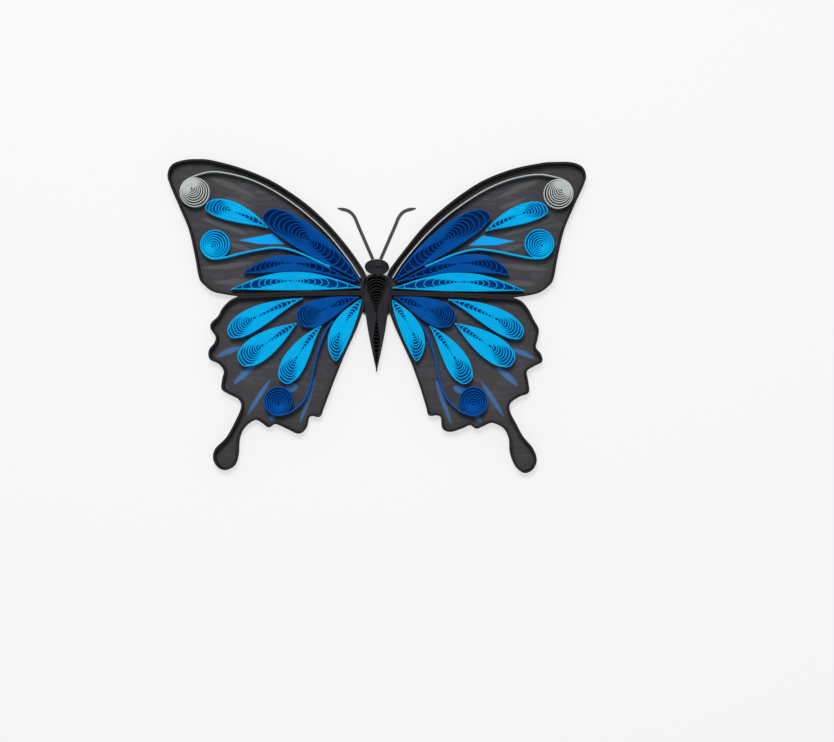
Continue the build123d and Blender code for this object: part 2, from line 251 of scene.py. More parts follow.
def start_material(name: str) -> tuple[bpy.types.Material, Board]:
    """Make a material and the board for its nodes.

    Args:
        name: The material's name.

    Returns:
        The material and the board of its tree.
    """
    material = bpy.data.materials.new(name)
    material.use_nodes = True
    return material, Board(material.node_tree)


@dataclass(frozen=True)
class Plan:
    """The flat plan of the butterfly, in millimetres and in the pixels that it was read in."""

    wing_span: float = 87.0
    wing_depth: float = 64.7
    body_width: float = 5.1
    body_length: float = 20.0
    head_width: float = 5.35
    head_depth: float = 3.4
    strip_height: float = 3.0
    strip_thickness: float = 0.15
    ground_level: float = 0.0
    sheet_thickness: float = 0.3
    glue_gap: float = 0.05
    root_tuck: float = 0.5
    root_drop: float = 1.6
    root_column: float = 364.2
    tip_column: float = 167.0
    seam_row: float = 293.0
    apex_row: float = 160.0
    tail_row: float = 471.5
    body_front_row: float = 275.3

    @property
    def wing_root(self) -> float:
        """How far from the middle a wing starts."""
        return self.body_width / 2 + self.glue_gap

    @property
    def across_scale(self) -> float:
        """Millimetres in a pixel along the span."""
        return (self.wing_span / 2 - self.wing_root) / (self.root_column - self.tip_column)

    @property
    def along_scale(self) -> float:
        """Millimetres in a pixel from head to tail."""
        return self.wing_depth / (self.tail_row - self.apex_row)

    @property
    def scale(self) -> float:
        """Millimetres in a pixel, the smaller of the two."""
        return min(self.across_scale, self.along_scale)

    @property
    def ply(self) -> float:
        """The thickness of a strip, in pixels."""
        return self.strip_thickness / self.scale

    @property
    def body_front(self) -> float:
        """Where the body begins behind the head."""
        return (self.seam_row - self.body_front_row) * self.along_scale

    @property
    def head_middle(self) -> float:
        """The middle of the head's coil."""
        return self.body_front + self.glue_gap + self.head_depth / 2

    def place(self, point: Point, side: Side) -> Point:
        """Turn a plan point of one side into millimetres from the middle of the body."""
        across = self.wing_root + (self.root_column - point[0]) * self.across_scale
        return (side.value * across, (self.seam_row - point[1]) * self.along_scale)

    def place_all(self, points: Sequence[Point], side: Side) -> list[Point]:
        """Turn plan points of one side into millimetres."""
        return [self.place(point, side) for point in points]


PLAN = Plan()


def smooth(points: Sequence[Point], spacing: float) -> list[Point]:
    """Walk a smooth curve through points.

    Args:
        points: The points that the curve passes through, in millimetres.
        spacing: About how far apart the new points are.

    Returns:
        The points of the curve, both ends among them.
    """
    line = [tuple(points[0])]
    for index in range(len(points) - 1):
        before = points[max(index - 1, 0)]
        start, finish = points[index], points[index + 1]
        after = points[min(index + 2, len(points) - 1)]
        steps = max(1, math.ceil(math.dist(start, finish) / spacing))
        for step in range(1, steps + 1):
            t = step / steps
            line.append(tuple(
                0.5 * (2 * start[k] + (finish[k] - before[k]) * t
                       + (2 * before[k] - 5 * start[k] + 4 * finish[k] - after[k]) * t ** 2
                       + (3 * start[k] - before[k] - 3 * finish[k] + after[k]) * t ** 3)
                for k in (0, 1)))
    return line


def even_out(points: Sequence[Point], spacing: float, closed: bool, soften: float = 0.0,
             fewest: int = 4) -> list[Point]:
    """Space points evenly along their line and round its corners.

    Args:
        points: The line's points.
        spacing: The distance between the new points.
        closed: Whether the line runs back to its start.
        soften: How far along the line a corner is rounded.
        fewest: The least number of steps between the new points.

    Returns:
        The evenly spaced points.
    """
    line = np.array([*points, points[0]] if closed else points, float)
    steps = np.hypot(*np.diff(line, axis=0).T)
    length = np.concatenate([[0.0], np.cumsum(steps)])
    count = max(fewest, round(length[-1] / spacing))
    at = np.linspace(0.0, length[-1], count + 1)
    even = np.stack([np.interp(at, length, line[:, k]) for k in (0, 1)], 1)
    if closed:
        even = even[:-1]
    rounds = round((soften / spacing) ** 2)
    for _ in range(rounds):
        if closed:
            even = (np.roll(even, 1, 0) + 2 * even + np.roll(even, -1, 0)) / 4
        else:
            even[1:-1] = (even[:-2] + 2 * even[1:-1] + even[2:]) / 4
    return [tuple(point) for point in even]


def inset(points: Sequence[Point], distance: float, corner_limit: float = 0.6) -> list[Point]:
    """Move a closed outline inwards.

    Args:
        points: The outline's corners.
        distance: How far its sides move.
        corner_limit: The least cosine used at a sharp corner, so that it stays short.

    Returns:
        The moved corners.
    """
    loop = [Vector(point) for point in points]
    area = sum(a.x * b.y - b.x * a.y for a, b in zip(loop, loop[1:] + loop[:1]))
    turn = math.copysign(1.0, area)
    moved = []
    for before, point, after in zip(loop[-1:] + loop[:-1], loop, loop[1:] + loop[:1]):
        arriving = (point - before).normalized()
        leaving = (after - point).normalized()
        along = (arriving + leaving).normalized()
        across = Vector((-along.y, along.x)) * turn
        square = Vector((-arriving.y, arriving.x)) * turn
        moved.append(tuple(point + across * (distance / max(across.dot(square), corner_limit))))
    return moved


@dataclass(frozen=True)
class Stock:
    """A paper ready for use: the materials of its strips and of the film under its coils."""

    strip: bpy.types.Material
    # The film's colour is painted shade between the turns, and where it glows, painted bounce light
    deep: bpy.types.Material


@dataclass(frozen=True)
class StripWinder:
    """Stands a strip of paper on edge along a line, by a tree of geometry nodes. Sizes are millimetres."""

    edge_softness: float = 0.035
    unevenness: float = 0.07
    wander: float = 6.0

    def sizes(self, thickness: float) -> dict[str, float]:
        """What the tree's inputs for sizes are given, by their names."""
        return {"Strip Thickness": thickness, "Strip Height": PLAN.strip_height,
                "Edge Softness": self.edge_softness, "Unevenness": self.unevenness, "Wander": self.wander}

    def tree(self) -> bpy.types.NodeTree:
        """Build the tree once, with named inputs for its sizes.

        Returns:
            The tree.
        """
        name = "stand_strip_on_edge"
        if name in bpy.data.node_groups:
            return bpy.data.node_groups[name]
        group = bpy.data.node_groups.new(name, "GeometryNodeTree")
        sockets = [("Line", "INPUT", "Geometry"), *[(size, "INPUT", "Float") for size in self.sizes(0.0)],
                   ("Paper", "INPUT", "Material"), ("Strip", "OUTPUT", "Geometry")]
        for label, way, kind in sockets:
            group.interface.new_socket(name=label, in_out=way, socket_type=f"NodeSocket{kind}")
        board = Board(group)
        given = board.node("NodeGroupInput")
        strip = self.swell(board, self.sweep(board, given))
        strip = self.move(board, strip, board.vector(z=board.out(given, "Strip Height") / 2))
        strip = self.wave(board, strip, given)
        strip = board.wire("GeometryNodeRealizeInstances", None, {"Geometry": strip})
        strip = board.wire("GeometryNodeSetMaterial", None,
                           {"Geometry": strip, "Material": board.out(given, "Paper")})
        board.node("NodeGroupOutput", None, {"Strip": strip})
        return group

    @staticmethod
    def keep(board: Board, line: Wire, name: str, kind: str, value: Wire) -> Wire:
        """Note a value at each point of a line, under a name."""
        return board.wire("GeometryNodeStoreNamedAttribute", {"data_type": kind, "domain": "POINT"},
                          {"Geometry": line, "Name": name, "Value": value})

    @staticmethod
    def recall(board: Board, name: str, kind: str) -> Wire:
        """Read what was noted under a name."""
        return board.wire("GeometryNodeInputNamedAttribute", {"data_type": kind}, {"Name": name},
                          "Attribute")

    @staticmethod
    def move(board: Board, strip: Wire, offset: Wire, chosen: Any = True) -> Wire:
        """Move the chosen points of a strip."""
        return board.wire("GeometryNodeSetPosition", None,
                          {"Geometry": strip, "Selection": chosen, "Offset": offset})

    def sweep(self, board: Board, given: bpy.types.Node) -> Wire:
        """Sweep the section of a strip along the line, with notes of the line's run.

        Args:
            board: The tree.
            given: The tree's input node.

        Returns:
            The strip, centred on its line.
        """
        line = board.out(given, "Line")
        length = board.wire("GeometryNodeSplineParameter", output="Length")
        line = self.keep(board, line, "along", "FLOAT", length)
        line = self.keep(board, line, "swelling", "FLOAT", board.wire("GeometryNodeInputRadius"))
        line = self.keep(board, line, "middle", "FLOAT_VECTOR", board.wire("GeometryNodeInputPosition"))
        line = board.wire("GeometryNodeSetCurveRadius", None, {"Curve": line, "Radius": 1.0})
        line = board.wire("GeometryNodeSetCurveNormal", {"mode": "Z_UP"}, {"Curve": line})
        section = board.wire("GeometryNodeCurvePrimitiveQuadrilateral", {"mode": "RECTANGLE"},
                             {"Width": board.out(given, "Strip Thickness"),
                              "Height": board.out(given, "Strip Height")})
        section = board.wire("GeometryNodeFilletCurve", {"mode": "POLY"},
                             {"Curve": section, "Count": 1, "Radius": board.out(given, "Edge Softness")})
        return board.wire("GeometryNodeCurveToMesh", None,
                          {"Curve": line, "Profile Curve": section, "Fill Caps": True})

    def swell(self, board: Board, strip: Wire) -> Wire:
        """Thicken the strip about its line where it swells.

        Args:
            board: The tree.
            strip: The strip, centred on its line.

        Returns:
            The thickened strip.
        """
        more = self.recall(board, "swelling", "FLOAT") - 1.0
        middle = self.recall(board, "middle", "FLOAT_VECTOR")
        off = board.vectors("SUBTRACT", board.wire("GeometryNodeInputPosition"), middle)
        return self.move(board, strip, board.vectors("MULTIPLY", off, board.vector(more, more)))

    def wave(self, board: Board, strip: Wire, given: bpy.types.Node) -> Wire:
        """Lower the strip's upper edge, by more in some places than in others.

        Args:
            board: The tree.
            strip: The strip, standing.
            given: The tree's input node.

        Returns:
            The strip with its uneven edge.
        """
        along = self.recall(board, "along", "FLOAT") / board.out(given, "Wander")
        noise = board.wire("ShaderNodeTexNoise", {"noise_dimensions": "1D"},
                           {"W": along, "Scale": 1.0, "Detail": 1.0})
        drop = noise * board.out(given, "Unevenness") * -1.0
        z = board.part(board.wire("GeometryNodeInputPosition"), "Z")
        base = board.wire("GeometryNodeAttributeStatistic", {"data_type": "FLOAT", "domain": "POINT"},
                          {"Geometry": strip, "Attribute": z}, "Min")
        upper = (z - base) > (board.out(given, "Strip Height") / 2)
        return self.move(board, strip, board.vector(z=drop), upper)

    def wind(self, name: str, lines: Sequence[Sequence[Point]], base: float, thickness: float,
             paper: bpy.types.Material, closed: bool = False,
             swellings: Sequence[float] | None = None) -> bpy.types.Object:
        """Stand strips on edge along lines and give back one plain mesh.

        Args:
            name: The piece's name.
            lines: The middle line of each strip.
            base: The height of the strips' lower edges.
            thickness: The paper's thickness.
            paper: The material of the strips.
            closed: Whether each line runs back to its start.
            swellings: How many times as thick a lone strip is at each point of its line.

        Returns:
            The finished piece, at the origin.
        """
        curve = bpy.data.curves.new(f"{name}_line", "CURVE")
        curve.dimensions = "3D"
        for points in lines:
            spline = curve.splines.new("POLY")
            spline.points.add(len(points) - 1)
            flat = [value for x, y in points
                    for value in (x * MILLIMETRE, y * MILLIMETRE, base * MILLIMETRE, 1.0)]
            spline.points.foreach_set("co", flat)
            spline.use_cyclic_u = closed
            if swellings:
                spline.points.foreach_set("radius", swellings)
        holder = bpy.data.objects.new(f"{name}_line", curve)
        bpy.context.scene.collection.objects.link(holder)
        modifier = holder.modifiers.new("stand", "NODES")
        modifier.node_group = self.tree()
        values = {label: size * MILLIMETRE for label, size in self.sizes(thickness).items()}
        values["Paper"] = paper
        for socket in modifier.node_group.interface.items_tree:
            if socket.in_out == "INPUT" and socket.name in values:
                modifier[socket.identifier] = values[socket.name]
        graph = bpy.context.evaluated_depsgraph_get()
        mesh = bpy.data.meshes.new_from_object(holder.evaluated_get(graph), depsgraph=graph)
        bpy.data.objects.remove(holder)
        return finish_piece(name, mesh)

    def wind_coil(self, name: str, line: Sequence[Point], base: float, thickness: float, stock: Stock,
                  film: Sequence[Point], swellings: Sequence[float] | None = None) -> bpy.types.Object:
        """Wind one strip as a coil and close the coil underneath with its film of painted shade and glow.

        Args:
            name: The piece's name.
            line: The middle line of the strip.
            base: The height of the strip's lower edge and of the film.
            thickness: The paper's thickness.
            stock: The paper.
            film: The film's outline.
            swellings: How many times as thick the strip is at each point.

        Returns:
            The finished piece, at the origin.
        """
        piece = self.wind(name, [line], base, thickness, stock.strip, swellings=swellings)
        add_film(piece, film, stock.deep, base)
        return piece


def finish_piece(name: str, mesh: bpy.types.Mesh, crease: float = 50.0) -> bpy.types.Object:
    """Link a mesh as a piece of the butterfly, with its faces outwards and its corners crisp.

    Args:
        name: The piece's name.
        mesh: Its mesh, in place.
        crease: The angle in degrees from which an edge stays sharp.

    Returns:
        The piece.
    """
    mesh.name = name
    cleaner = bmesh.new()
    cleaner.from_mesh(mesh)
    bmesh.ops.recalc_face_normals(cleaner, faces=cleaner.faces)
    cleaner.to_mesh(mesh)
    cleaner.free()
    mesh.shade_smooth()
    mesh.set_sharp_from_angle(angle=math.radians(crease))
    piece = bpy.data.objects.new(name, mesh)
    bpy.context.scene.collection.objects.link(piece)
    return piece


def raise_slab(maker: bmesh.types.BMesh, outline: Sequence[Point], base: float,
               thickness: float) -> list[bmesh.types.BMVert]:
    """Add a flat slab to a mesh that is being made.

    Args:
        maker: The mesh that is being made.
        outline: The slab's outline, in millimetres.
        base: The height of its underside, in millimetres.
        thickness: How thick it is, in millimetres.

    Returns:
        Its corners, lower and upper.
    """
    corners = [maker.verts.new((x * MILLIMETRE, y * MILLIMETRE, base * MILLIMETRE)) for x, y in outline]
    raised = bmesh.ops.extrude_face_region(maker, geom=[maker.faces.new(corners)])["geom"]
    lifted = [item for item in raised if isinstance(item, bmesh.types.BMVert)]
    bmesh.ops.translate(maker, verts=lifted, vec=(0.0, 0.0, thickness * MILLIMETRE))
    return corners + lifted


def add_film(piece: bpy.types.Object, outline: Sequence[Point], deep: bpy.types.Material, base: float,
             thickness: float = 0.02) -> None:
    """Close a coil underneath with a thin film of painted shade and glow, seen deep between its turns.

    Args:
        piece: The coil's piece.
        outline: The film's outline, in millimetres.
        deep: The film's material, painted shade and glow.
        base: The height of its underside, in millimetres.
        thickness: How thick it is, in millimetres.
    """
    mesh = piece.data
    mesh.materials.append(deep)
    maker = bmesh.new()
    maker.from_mesh(mesh)
    film = {face for corner in raise_slab(maker, outline, base, thickness) for face in corner.link_faces}
    for face in film:
        face.material_index = len(mesh.materials) - 1
        face.smooth = False
    bmesh.ops.recalc_face_normals(maker, faces=list(film))
    maker.to_mesh(mesh)
    maker.free()


def cut_card(name: str, outline: Sequence[Point], card: bpy.types.Material) -> bpy.types.Object:
    """Cut a flat piece of card that lies on the ground plane.

    Args:
        name: The piece's name.
        outline: Its outline, in millimetres.
        card: Its material.

    Returns:
        The finished piece.
    """
    maker = bmesh.new()
    raise_slab(maker, outline, PLAN.ground_level, PLAN.sheet_thickness)
    mesh = bpy.data.meshes.new(name)
    maker.to_mesh(mesh)
    maker.free()
    mesh.materials.append(card)
    return finish_piece(name, mesh)


class Handwork:
    """How far the turns of one hand-wound coil stray, in turns."""

    def __init__(self, name: str, side: Side, turns: int, most: float) -> None:
        """Draw a stray for each turn but the outermost, which lies true."""
        chance = random.Random(f"{name} {side.name}")
        self.strays = [0.0] + [chance.uniform(-1, 1) * most for _ in range(turns + 1)]

    def astray(self, level: float) -> float:
        """A level with its stray."""
        return level + float(np.interp(level, range(len(self.strays)), self.strays))


@dataclass(frozen=True)
class Winding:
    """How a coil's strip shifts from turn to turn, and how much its turns stray.

    The strip steps in to the next turn between two angles, in half turns from the tip, and bunching draws
    the points of its line towards the two ends, where it bends most.
    """

    step_from: float = 1.1
    step_to: float = 1.32
    eye_turns: float = 0.75
    per_turn: int = 84
    stray: float = 0.12
    bunching: float = 0.28

    def level(self, turned: float) -> float:
        """How many turns deep the strip is after so many half turns from the tip."""
        whole, part = divmod(turned, 2.0)
        return whole + ease(part, self.step_from, self.step_to)


@dataclass(frozen=True)
class Coil:
    """A coil pinched at its tip, in plan pixels and in shares of its length from its round end.

    A side is its widest distance from the axis, the roundness of its end and the taper to its tip. The eye
    is where the strip ends. The folds of an end are where the innermost turn folds, as a share of the way
    out from the eye, and how much the folds crowd inwards. The chevron, at the tip, and the crescent, at the
    round end, are the gaps between the folds: how wide they are by the eye, how they open outwards, and the
    most of half the width that they take. Snug is the most room that a pressed turn takes.
    """

    name: str
    paper: Paper
    ends: dict[Side, Point]
    tips: dict[Side, Point]
    upper: Triple
    lower: Triple
    eye: float
    turns: int
    tip_folds: Pair = (0.0, 1.5)
    end_folds: Pair = (0.0, 1.5)
    snug: float = 1.4
    chevron: Triple = (0.15, 3.6, 0.52)
    crescent: Triple = (0.15, 12.0, 0.8)
    blunt: float = 0.9
    round_blunt: float = 1.15
    open_swelling: float = 1.3
    open_from: float = 0.5
    base: float = PLAN.sheet_thickness
    winding: Winding = Winding()
    innermost: float = 0.999
    edge_turns: float = 0.5
    loosening: int = 3
    fold_back: float = 0.6
    least_plies: float = 0.4
    film_inset: float = 0.15
    film_spacing: float = 0.3
    film_steps: int = 60

    def swell(self, share: float, shape: Triple) -> float:
        """How far a side stands off the axis at a share of the length, in pixels.

        Args:
            share: The place along the axis, as a share of the length.
            shape: The side's width, roundness and taper.

        Returns:
            The distance.
        """
        width, roundness, taper = shape
        share = min(max(share, 0.0), 1.0)
        widest = roundness / (roundness + taper)
        return width * (share / widest) ** roundness * ((1 - share) / (1 - widest)) ** taper

    def length(self, side: Side) -> float:
        """From the end to the tip, in pixels."""
        return math.dist(self.ends[side], self.tips[side])

    def middle(self, share: float) -> float:
        """The line midway between the two sides."""
        return (self.swell(share, self.upper) - self.swell(share, self.lower)) / 2

    def half(self, share: float) -> float:
        """Half the width between the two sides."""
        return (self.swell(share, self.upper) + self.swell(share, self.lower)) / 2

    def folds(self, far: float) -> Pair:
        """The folds of the end that lies that way."""
        return self.tip_folds if far > self.eye else self.end_folds

    def reach(self, level: float, far: float) -> float:
        """How far out the fold of a turn lies, from 0 at the eye to 1 at the far end."""
        core, crowding = self.folds(far)
        return core + (1 - core) * (1 - min(level / self.turns, self.innermost)) ** crowding

    def crossed(self, reach: float, far: float) -> float:
        """How many turns run past a place on the way to a far end.

        Args:
            reach: The place, from 0 at the eye to 1 at the far end.
            far: Where that end is, as a share of the length.

        Returns:
            The number of turns, with its fraction.
        """
        core, crowding = self.folds(far)
        beyond = max(reach - core, 0.0) / (1 - core)
        return min(self.turns * (1 - beyond ** (1 / crowding)), self.turns - self.edge_turns)

    def stack(self, level: float, place: float, far: float) -> tuple[float, float]:
        """How a turn is stacked against the side.

        Args:
            level: How many turns deep the strip is.
            place: The place along the axis, as a share of the length.
            far: The end that the turn is on its way to.

        Returns:
            How far in from the side it lies and the room that it has, both across the axis in pixels.
        """
        reach = min(max((place - self.eye) / (far - self.eye), 0.0), 1.0)
        turns = max(self.crossed(reach, far), level, self.edge_turns)
        half = self.half(place) - PLAN.ply / 2
        closed, opening, most = self.chevron if far > self.eye else self.crescent
        band = half - min(closed + opening * max(reach - self.folds(far)[0], 0.0), most * half)
        room = band / turns
        if room <= self.snug:
            return level * room, room
        loose = band - turns * self.snug
        return level * self.snug + loose * (level / turns) ** self.loosening, self.snug

    def inside(self, place: float, deep: float) -> float:
        """Half the width inside so much paper, and never less than a strip can turn in."""
        return max(self.half(place) - PLAN.ply / 2 - deep, self.least_plies * PLAN.ply)

    def fold_point(self, side: Side, level: float, turned: float, far: float) -> tuple[Point, float]:
        """A point of the turn on its way round a pinched end.

        Args:
            side: The half of the butterfly.
            level: How many turns deep the strip is, with the handwork's unevenness.
            turned: The angle, in half turns from the tip.
            far: Where that end is, as a share of the length.

        Returns:
            The distances along and across the axis, in pixels, and how much the strip swells there.
        """
        length = self.length(side)
        outwards = math.copysign(1.0, far - self.eye)
        back = outwards * PLAN.ply * self.fold_back / length
        fold = self.eye + (far - self.eye) * self.reach(level, far) - back
        place = self.eye + (fold - self.eye) * abs(math.cos(math.pi * turned))
        corner = self.inside(fold, self.stack(level, fold, far)[0])
        blunt = self.blunt if far > self.eye else self.round_blunt
        start = fold - outwards * blunt * corner / length
        deep, room = self.stack(level, place, far)
        half = self.inside(place, deep)
        pressed = max(room / PLAN.ply, 1.0)
        beyond = (place - start) / (fold - start)
        if beyond > 0:
            cap = self.inside(start, self.stack(level, start, far)[0])
            half = min(half, cap * math.sqrt(max(1 - beyond ** 2, 0.0)))
            pressed += (self.open_swelling - pressed) * min(beyond / self.open_from, 1.0)
        offset = half if math.sin(math.pi * turned) >= 0 else -half
        return (place * length, self.middle(place) + offset), pressed

    def path(self, side: Side) -> tuple[list[Point], list[float]]:
        """Wind the whole strip, from its outer end to its eye.

        Args:
            side: The half of the butterfly.

        Returns:
            Its points, in pixels along and across the axis, and how much it swells at each.
        """
        hand = Handwork(self.name, side, self.turns, self.winding.stray)
        last = 2 * (self.turns - self.winding.eye_turns)
        start = self.winding.step_to - 2
        steps = round((last - start) / 2 * self.winding.per_turn)
        line, swellings = [], []
        for step in range(steps + 1):
            even = start + (last - start) * step / steps
            turned = even - self.winding.bunching * math.sin(2 * math.pi * even) / math.pi
            level = hand.astray(max(self.winding.level(turned), 0.0))
            # The middle half of each turn runs round the round end, and the rest round the tip
            far = 0.0 if 0.5 <= turned % 2 <= 1.5 else 1.0
            point, swelling = self.fold_point(side, level, turned, far)
            line.append(point)
            swellings.append(swelling)
        return line, swellings

    def put(self, side: Side, line: Sequence[Point]) -> list[Point]:
        """Place points along and across the coil's axis on the butterfly, in millimetres.

        Args:
            side: The half of the butterfly.
            line: The points, in pixels from the coil's round end.

        Returns:
            The placed points.
        """
        (end_x, end_y), (tip_x, tip_y) = self.ends[side], self.tips[side]
        length = self.length(side)
        along_x, along_y = (tip_x - end_x) / length, (tip_y - end_y) / length
        return PLAN.place_all([(end_x + along_x * run + along_y * off, end_y + along_y * run - along_x * off)
                               for run, off in line], side)

    def outline(self, side: Side) -> list[Point]:
        """The outline of the coil's film, a little inside its outermost turn, in millimetres.

        Args:
            side: The half of the butterfly.

        Returns:
            The outline's points.
        """
        length, count = self.length(side), self.film_steps
        shares = [0.5 - 0.5 * math.cos(math.pi * step / count) for step in range(1, count)]
        upper = [(share * length, self.swell(share, self.upper)) for share in shares]
        lower = [(share * length, -self.swell(share, self.lower)) for share in shares]
        line = even_out(self.put(side, upper + lower[::-1]), self.film_spacing, closed=True)
        return inset(line, self.film_inset)

    def title(self, side: Side) -> str:
        """What the coil's piece is called."""
        return f"{side.word}_{self.name}_wound"

    def build(self, side: Side, winder: StripWinder, stock: Stock) -> bpy.types.Object:
        """Wind the coil, stand it in its place and close it underneath.

        Args:
            side: The half of the butterfly.
            winder: What stands strips on edge.
            stock: The coil's paper.

        Returns:
            The finished piece.
        """
        line, swellings = self.path(side)
        return winder.wind_coil(self.title(side), self.put(side, line), self.base, PLAN.strip_thickness,
                                stock, self.outline(side), swellings)


@dataclass(frozen=True)
class Scroll:
    """A loose round coil with its eye off centre, and the strip that runs on from it."""

    name: str
    paper: Paper
    centres: dict[Side, Point]
    eye_offset: Point
    radius: float
    turns: int
    tails: dict[Side, list[Point]]
    strip: float = 0.22
    tail_swelling: float = 1.5
    tail_spacing: float = 1.2
    lead_in: tuple[int, ...] = (0, 25, 50)
    joint_turns: float = 0.15
    crowding: float = 0.86
    pressed: Pair = (1.25, 1.9)
    per_turn: int = 96
    stray: float = 0.06
    film_level: float = 0.4
    film_step: int = 6

    @property
    def ply(self) -> float:
        """The thickness of the scroll's strip, in pixels."""
        return self.strip / PLAN.scale

    @staticmethod
    def level(turned: float) -> float:
        """How many turns deep the strip is after so many turns, sinking gently over the first."""
        return turned - 0.5 if turned > 1 else turned * turned / 2

    def ring(self, side: Side, level: float, angle: float, swelling: float = 1.0) -> Point:
        """A plan point of the scroll, so many turns deep and at an angle about its middle.

        Args:
            side: The half of the butterfly.
            level: How many turns deep the strip is.
            angle: The angle about the scroll's middle, in radians.
            swelling: How much the strip swells there.

        Returns:
            The plan point.
        """
        centre_x, centre_y = self.centres[side]
        share = (level / self.turns) ** self.crowding
        radius = (self.radius - self.ply * swelling / 2) * (1 - share)
        return (centre_x + self.eye_offset[0] * share + radius * math.cos(angle),
                centre_y + self.eye_offset[1] * share + radius * math.sin(angle))

    def swelling(self, level: float, angle: float) -> float:
        """How much the strip swells where its turns are pressed together.

        Args:
            level: How many turns deep the strip is.
            angle: The angle about the scroll's middle, in radians.

        Returns:
            How many times as thick the strip is.
        """
        towards = self.eye_offset[0] * math.cos(angle) + self.eye_offset[1] * math.sin(angle)
        apart = ((level + 1) ** self.crowding - level ** self.crowding) / self.turns ** self.crowding
        room = (self.radius - towards) * apart / self.ply
        share = ease(room, *self.pressed)
        return max(room, 1.0) * (1 - share) + share

    def tail(self, side: Side, start: Sequence[Point]) -> list[Point]:
        """The scroll's tail, from its far end to the start of the scroll, in plan pixels.

        Args:
            side: The half of the butterfly.
            start: The scroll's first points.

        Returns:
            The tail's points.
        """
        line = smooth([*self.tails[side][:0:-1], *start], self.tail_spacing)
        meets = min(range(len(line)), key=lambda index: math.dist(line[index], start[0]))
        return line[:meets]

    def path(self, side: Side) -> tuple[list[Point], list[float]]:
        """Wind the strip from the far end of its tail to the eye.

        Args:
            side: The half of the butterfly.

        Returns:
            Its points, in millimetres, and how much it swells at each.
        """
        (on_x, on_y), (next_x, next_y) = self.tails[side][:2]
        centre_x, centre_y = self.centres[side]
        first = math.atan2(on_y - centre_y, on_x - centre_x)
        sense = math.copysign(1.0, math.cos(first) * (on_y - next_y) - math.sin(first) * (on_x - next_x))
        hand = Handwork(self.name, side, self.turns, self.stray)
        start = [self.ring(side, 0.0, first + sense * math.radians(angle), self.tail_swelling)
                 for angle in self.lead_in]
        line = self.tail(side, start)
        swellings = [self.tail_swelling] * len(line)
        count = self.turns * self.per_turn
        for step in range(count + 1):
            turned = self.turns * step / count
            level = hand.astray(self.level(turned))
            angle = first + sense * 2 * math.pi * turned
            swelling = self.swelling(level, angle)
            swelling += (self.tail_swelling - swelling) * max(1 - turned / self.joint_turns, 0.0)
            line.append(self.ring(side, level, angle, swelling))
            swellings.append(swelling)
        return PLAN.place_all(line, side), swellings

    def build(self, side: Side, winder: StripWinder, stock: Stock) -> bpy.types.Object:
        """Wind the scroll and its tail, stand it on the sheet and close it underneath.

        Args:
            side: The half of the butterfly.
            winder: What stands strips on edge.
            stock: The scroll's paper.

        Returns:
            The finished piece.
        """
        line, swellings = self.path(side)
        film = [self.ring(side, self.film_level, math.radians(angle))
                for angle in range(0, 360, self.film_step)]
        return winder.wind_coil(f"{side.word}_{self.name}_wound", line, PLAN.sheet_thickness, self.strip,
                                stock, PLAN.place_all(film, side), swellings)


@dataclass(frozen=True)
class Stroke:
    """A brush stroke of the print on a sheet, in plan pixels of the left side.

    It bows by so much halfway, and is fullest at a share of its length.
    """

    start: Point
    finish: Point
    width: float
    bow: float = 0.0
    fullest: float = 0.5
    bluntness: float = 0.62
    slimmer: float = 0.35
    softness: float = 0.9

    def mask(self, board: Board, x: Wire, y: Wire, shift: Point, ragged: Wire) -> Wire:
        """One inside the stroke, nought outside it.

        Args:
            board: The material's tree.
            x: The place along the span, in plan pixels.
            y: The place from head to tail, in plan pixels.
            shift: How far this side's stroke lies from the left side's.
            ragged: How far the stroke's edge strays, in pixels.

        Returns:
            The mask.
        """
        run_x, run_y = self.finish[0] - self.start[0], self.finish[1] - self.start[1]
        length = math.hypot(run_x, run_y)
        along_x, along_y = run_x / length, run_y / length
        from_x, from_y = x - (self.start[0] + shift[0]), y - (self.start[1] + shift[1])
        along = (from_x * along_x + from_y * along_y) / length
        across = from_y * along_x - from_x * along_y
        held = board.sum("MINIMUM", board.sum("MAXIMUM", along, 0.0), 1.0)
        sharpness = self.bluntness * (1 - self.fullest) / self.fullest
        peak = self.fullest ** self.bluntness * (1 - self.fullest) ** sharpness
        body = board.sum("POWER", held, self.bluntness) * board.sum("POWER", 1.0 - held, sharpness)
        edge = body * (self.width / 2 / peak) + ragged * body - self.slimmer
        off = board.sum("ABSOLUTE", across - held * (1.0 - held) * 4.0 * self.bow)
        off = off + board.sum("ABSOLUTE", along - held) * length
        return board.smooth_step(edge - off, -self.softness, self.softness)


FOREWING_STROKES = (
    Stroke((209.0, 177.0), (256.0, 197.0), 6.5, bow=-0.6, fullest=0.4),
    Stroke((224.0, 196.0), (252.0, 206.0), 5.0, bow=0.4),
    Stroke((200.0, 218.0), (247.0, 234.0), 6.0, bow=-0.8),
    Stroke((226.0, 242.5), (252.0, 250.5), 5.5, bow=-0.5),
    Stroke((200.0, 267.5), (254.0, 261.5), 5.8, bow=1.0),
    Stroke((213.0, 282.0), (250.0, 279.5), 6.2, bow=0.6),
)
HINDWING_STROKES = (
    Stroke((215.0, 357.0), (241.5, 347.0), 6.0, bow=-0.8),
    Stroke((232.5, 384.5), (254.5, 365.5), 6.6, bow=-0.8),
    Stroke((246.4, 415.6), (270.0, 379.2), 5.2, bow=-0.4),
    Stroke((283.5, 390.5), (297.5, 385.5), 9.0),
    Stroke((269.4, 420.4), (277.0, 412.0), 6.0, fullest=0.4),
    Stroke((298.7, 424.0), (314.6, 378.0), 5.0, bow=0.6, fullest=0.55),
)
# How far the strokes of each side lie from where they are given
STROKE_SHIFT = both((0.0, 0.0), (2.4, 1.6))
AZURE_WEDGE = both(
    ((238.0, 239.6), (271.5, 233.0), (284.0, 243.5), (258.0, 243.4)),
    ((237.6, 240.6), (269.8, 234.8), (284.4, 245.0), (256.4, 244.5)),
)


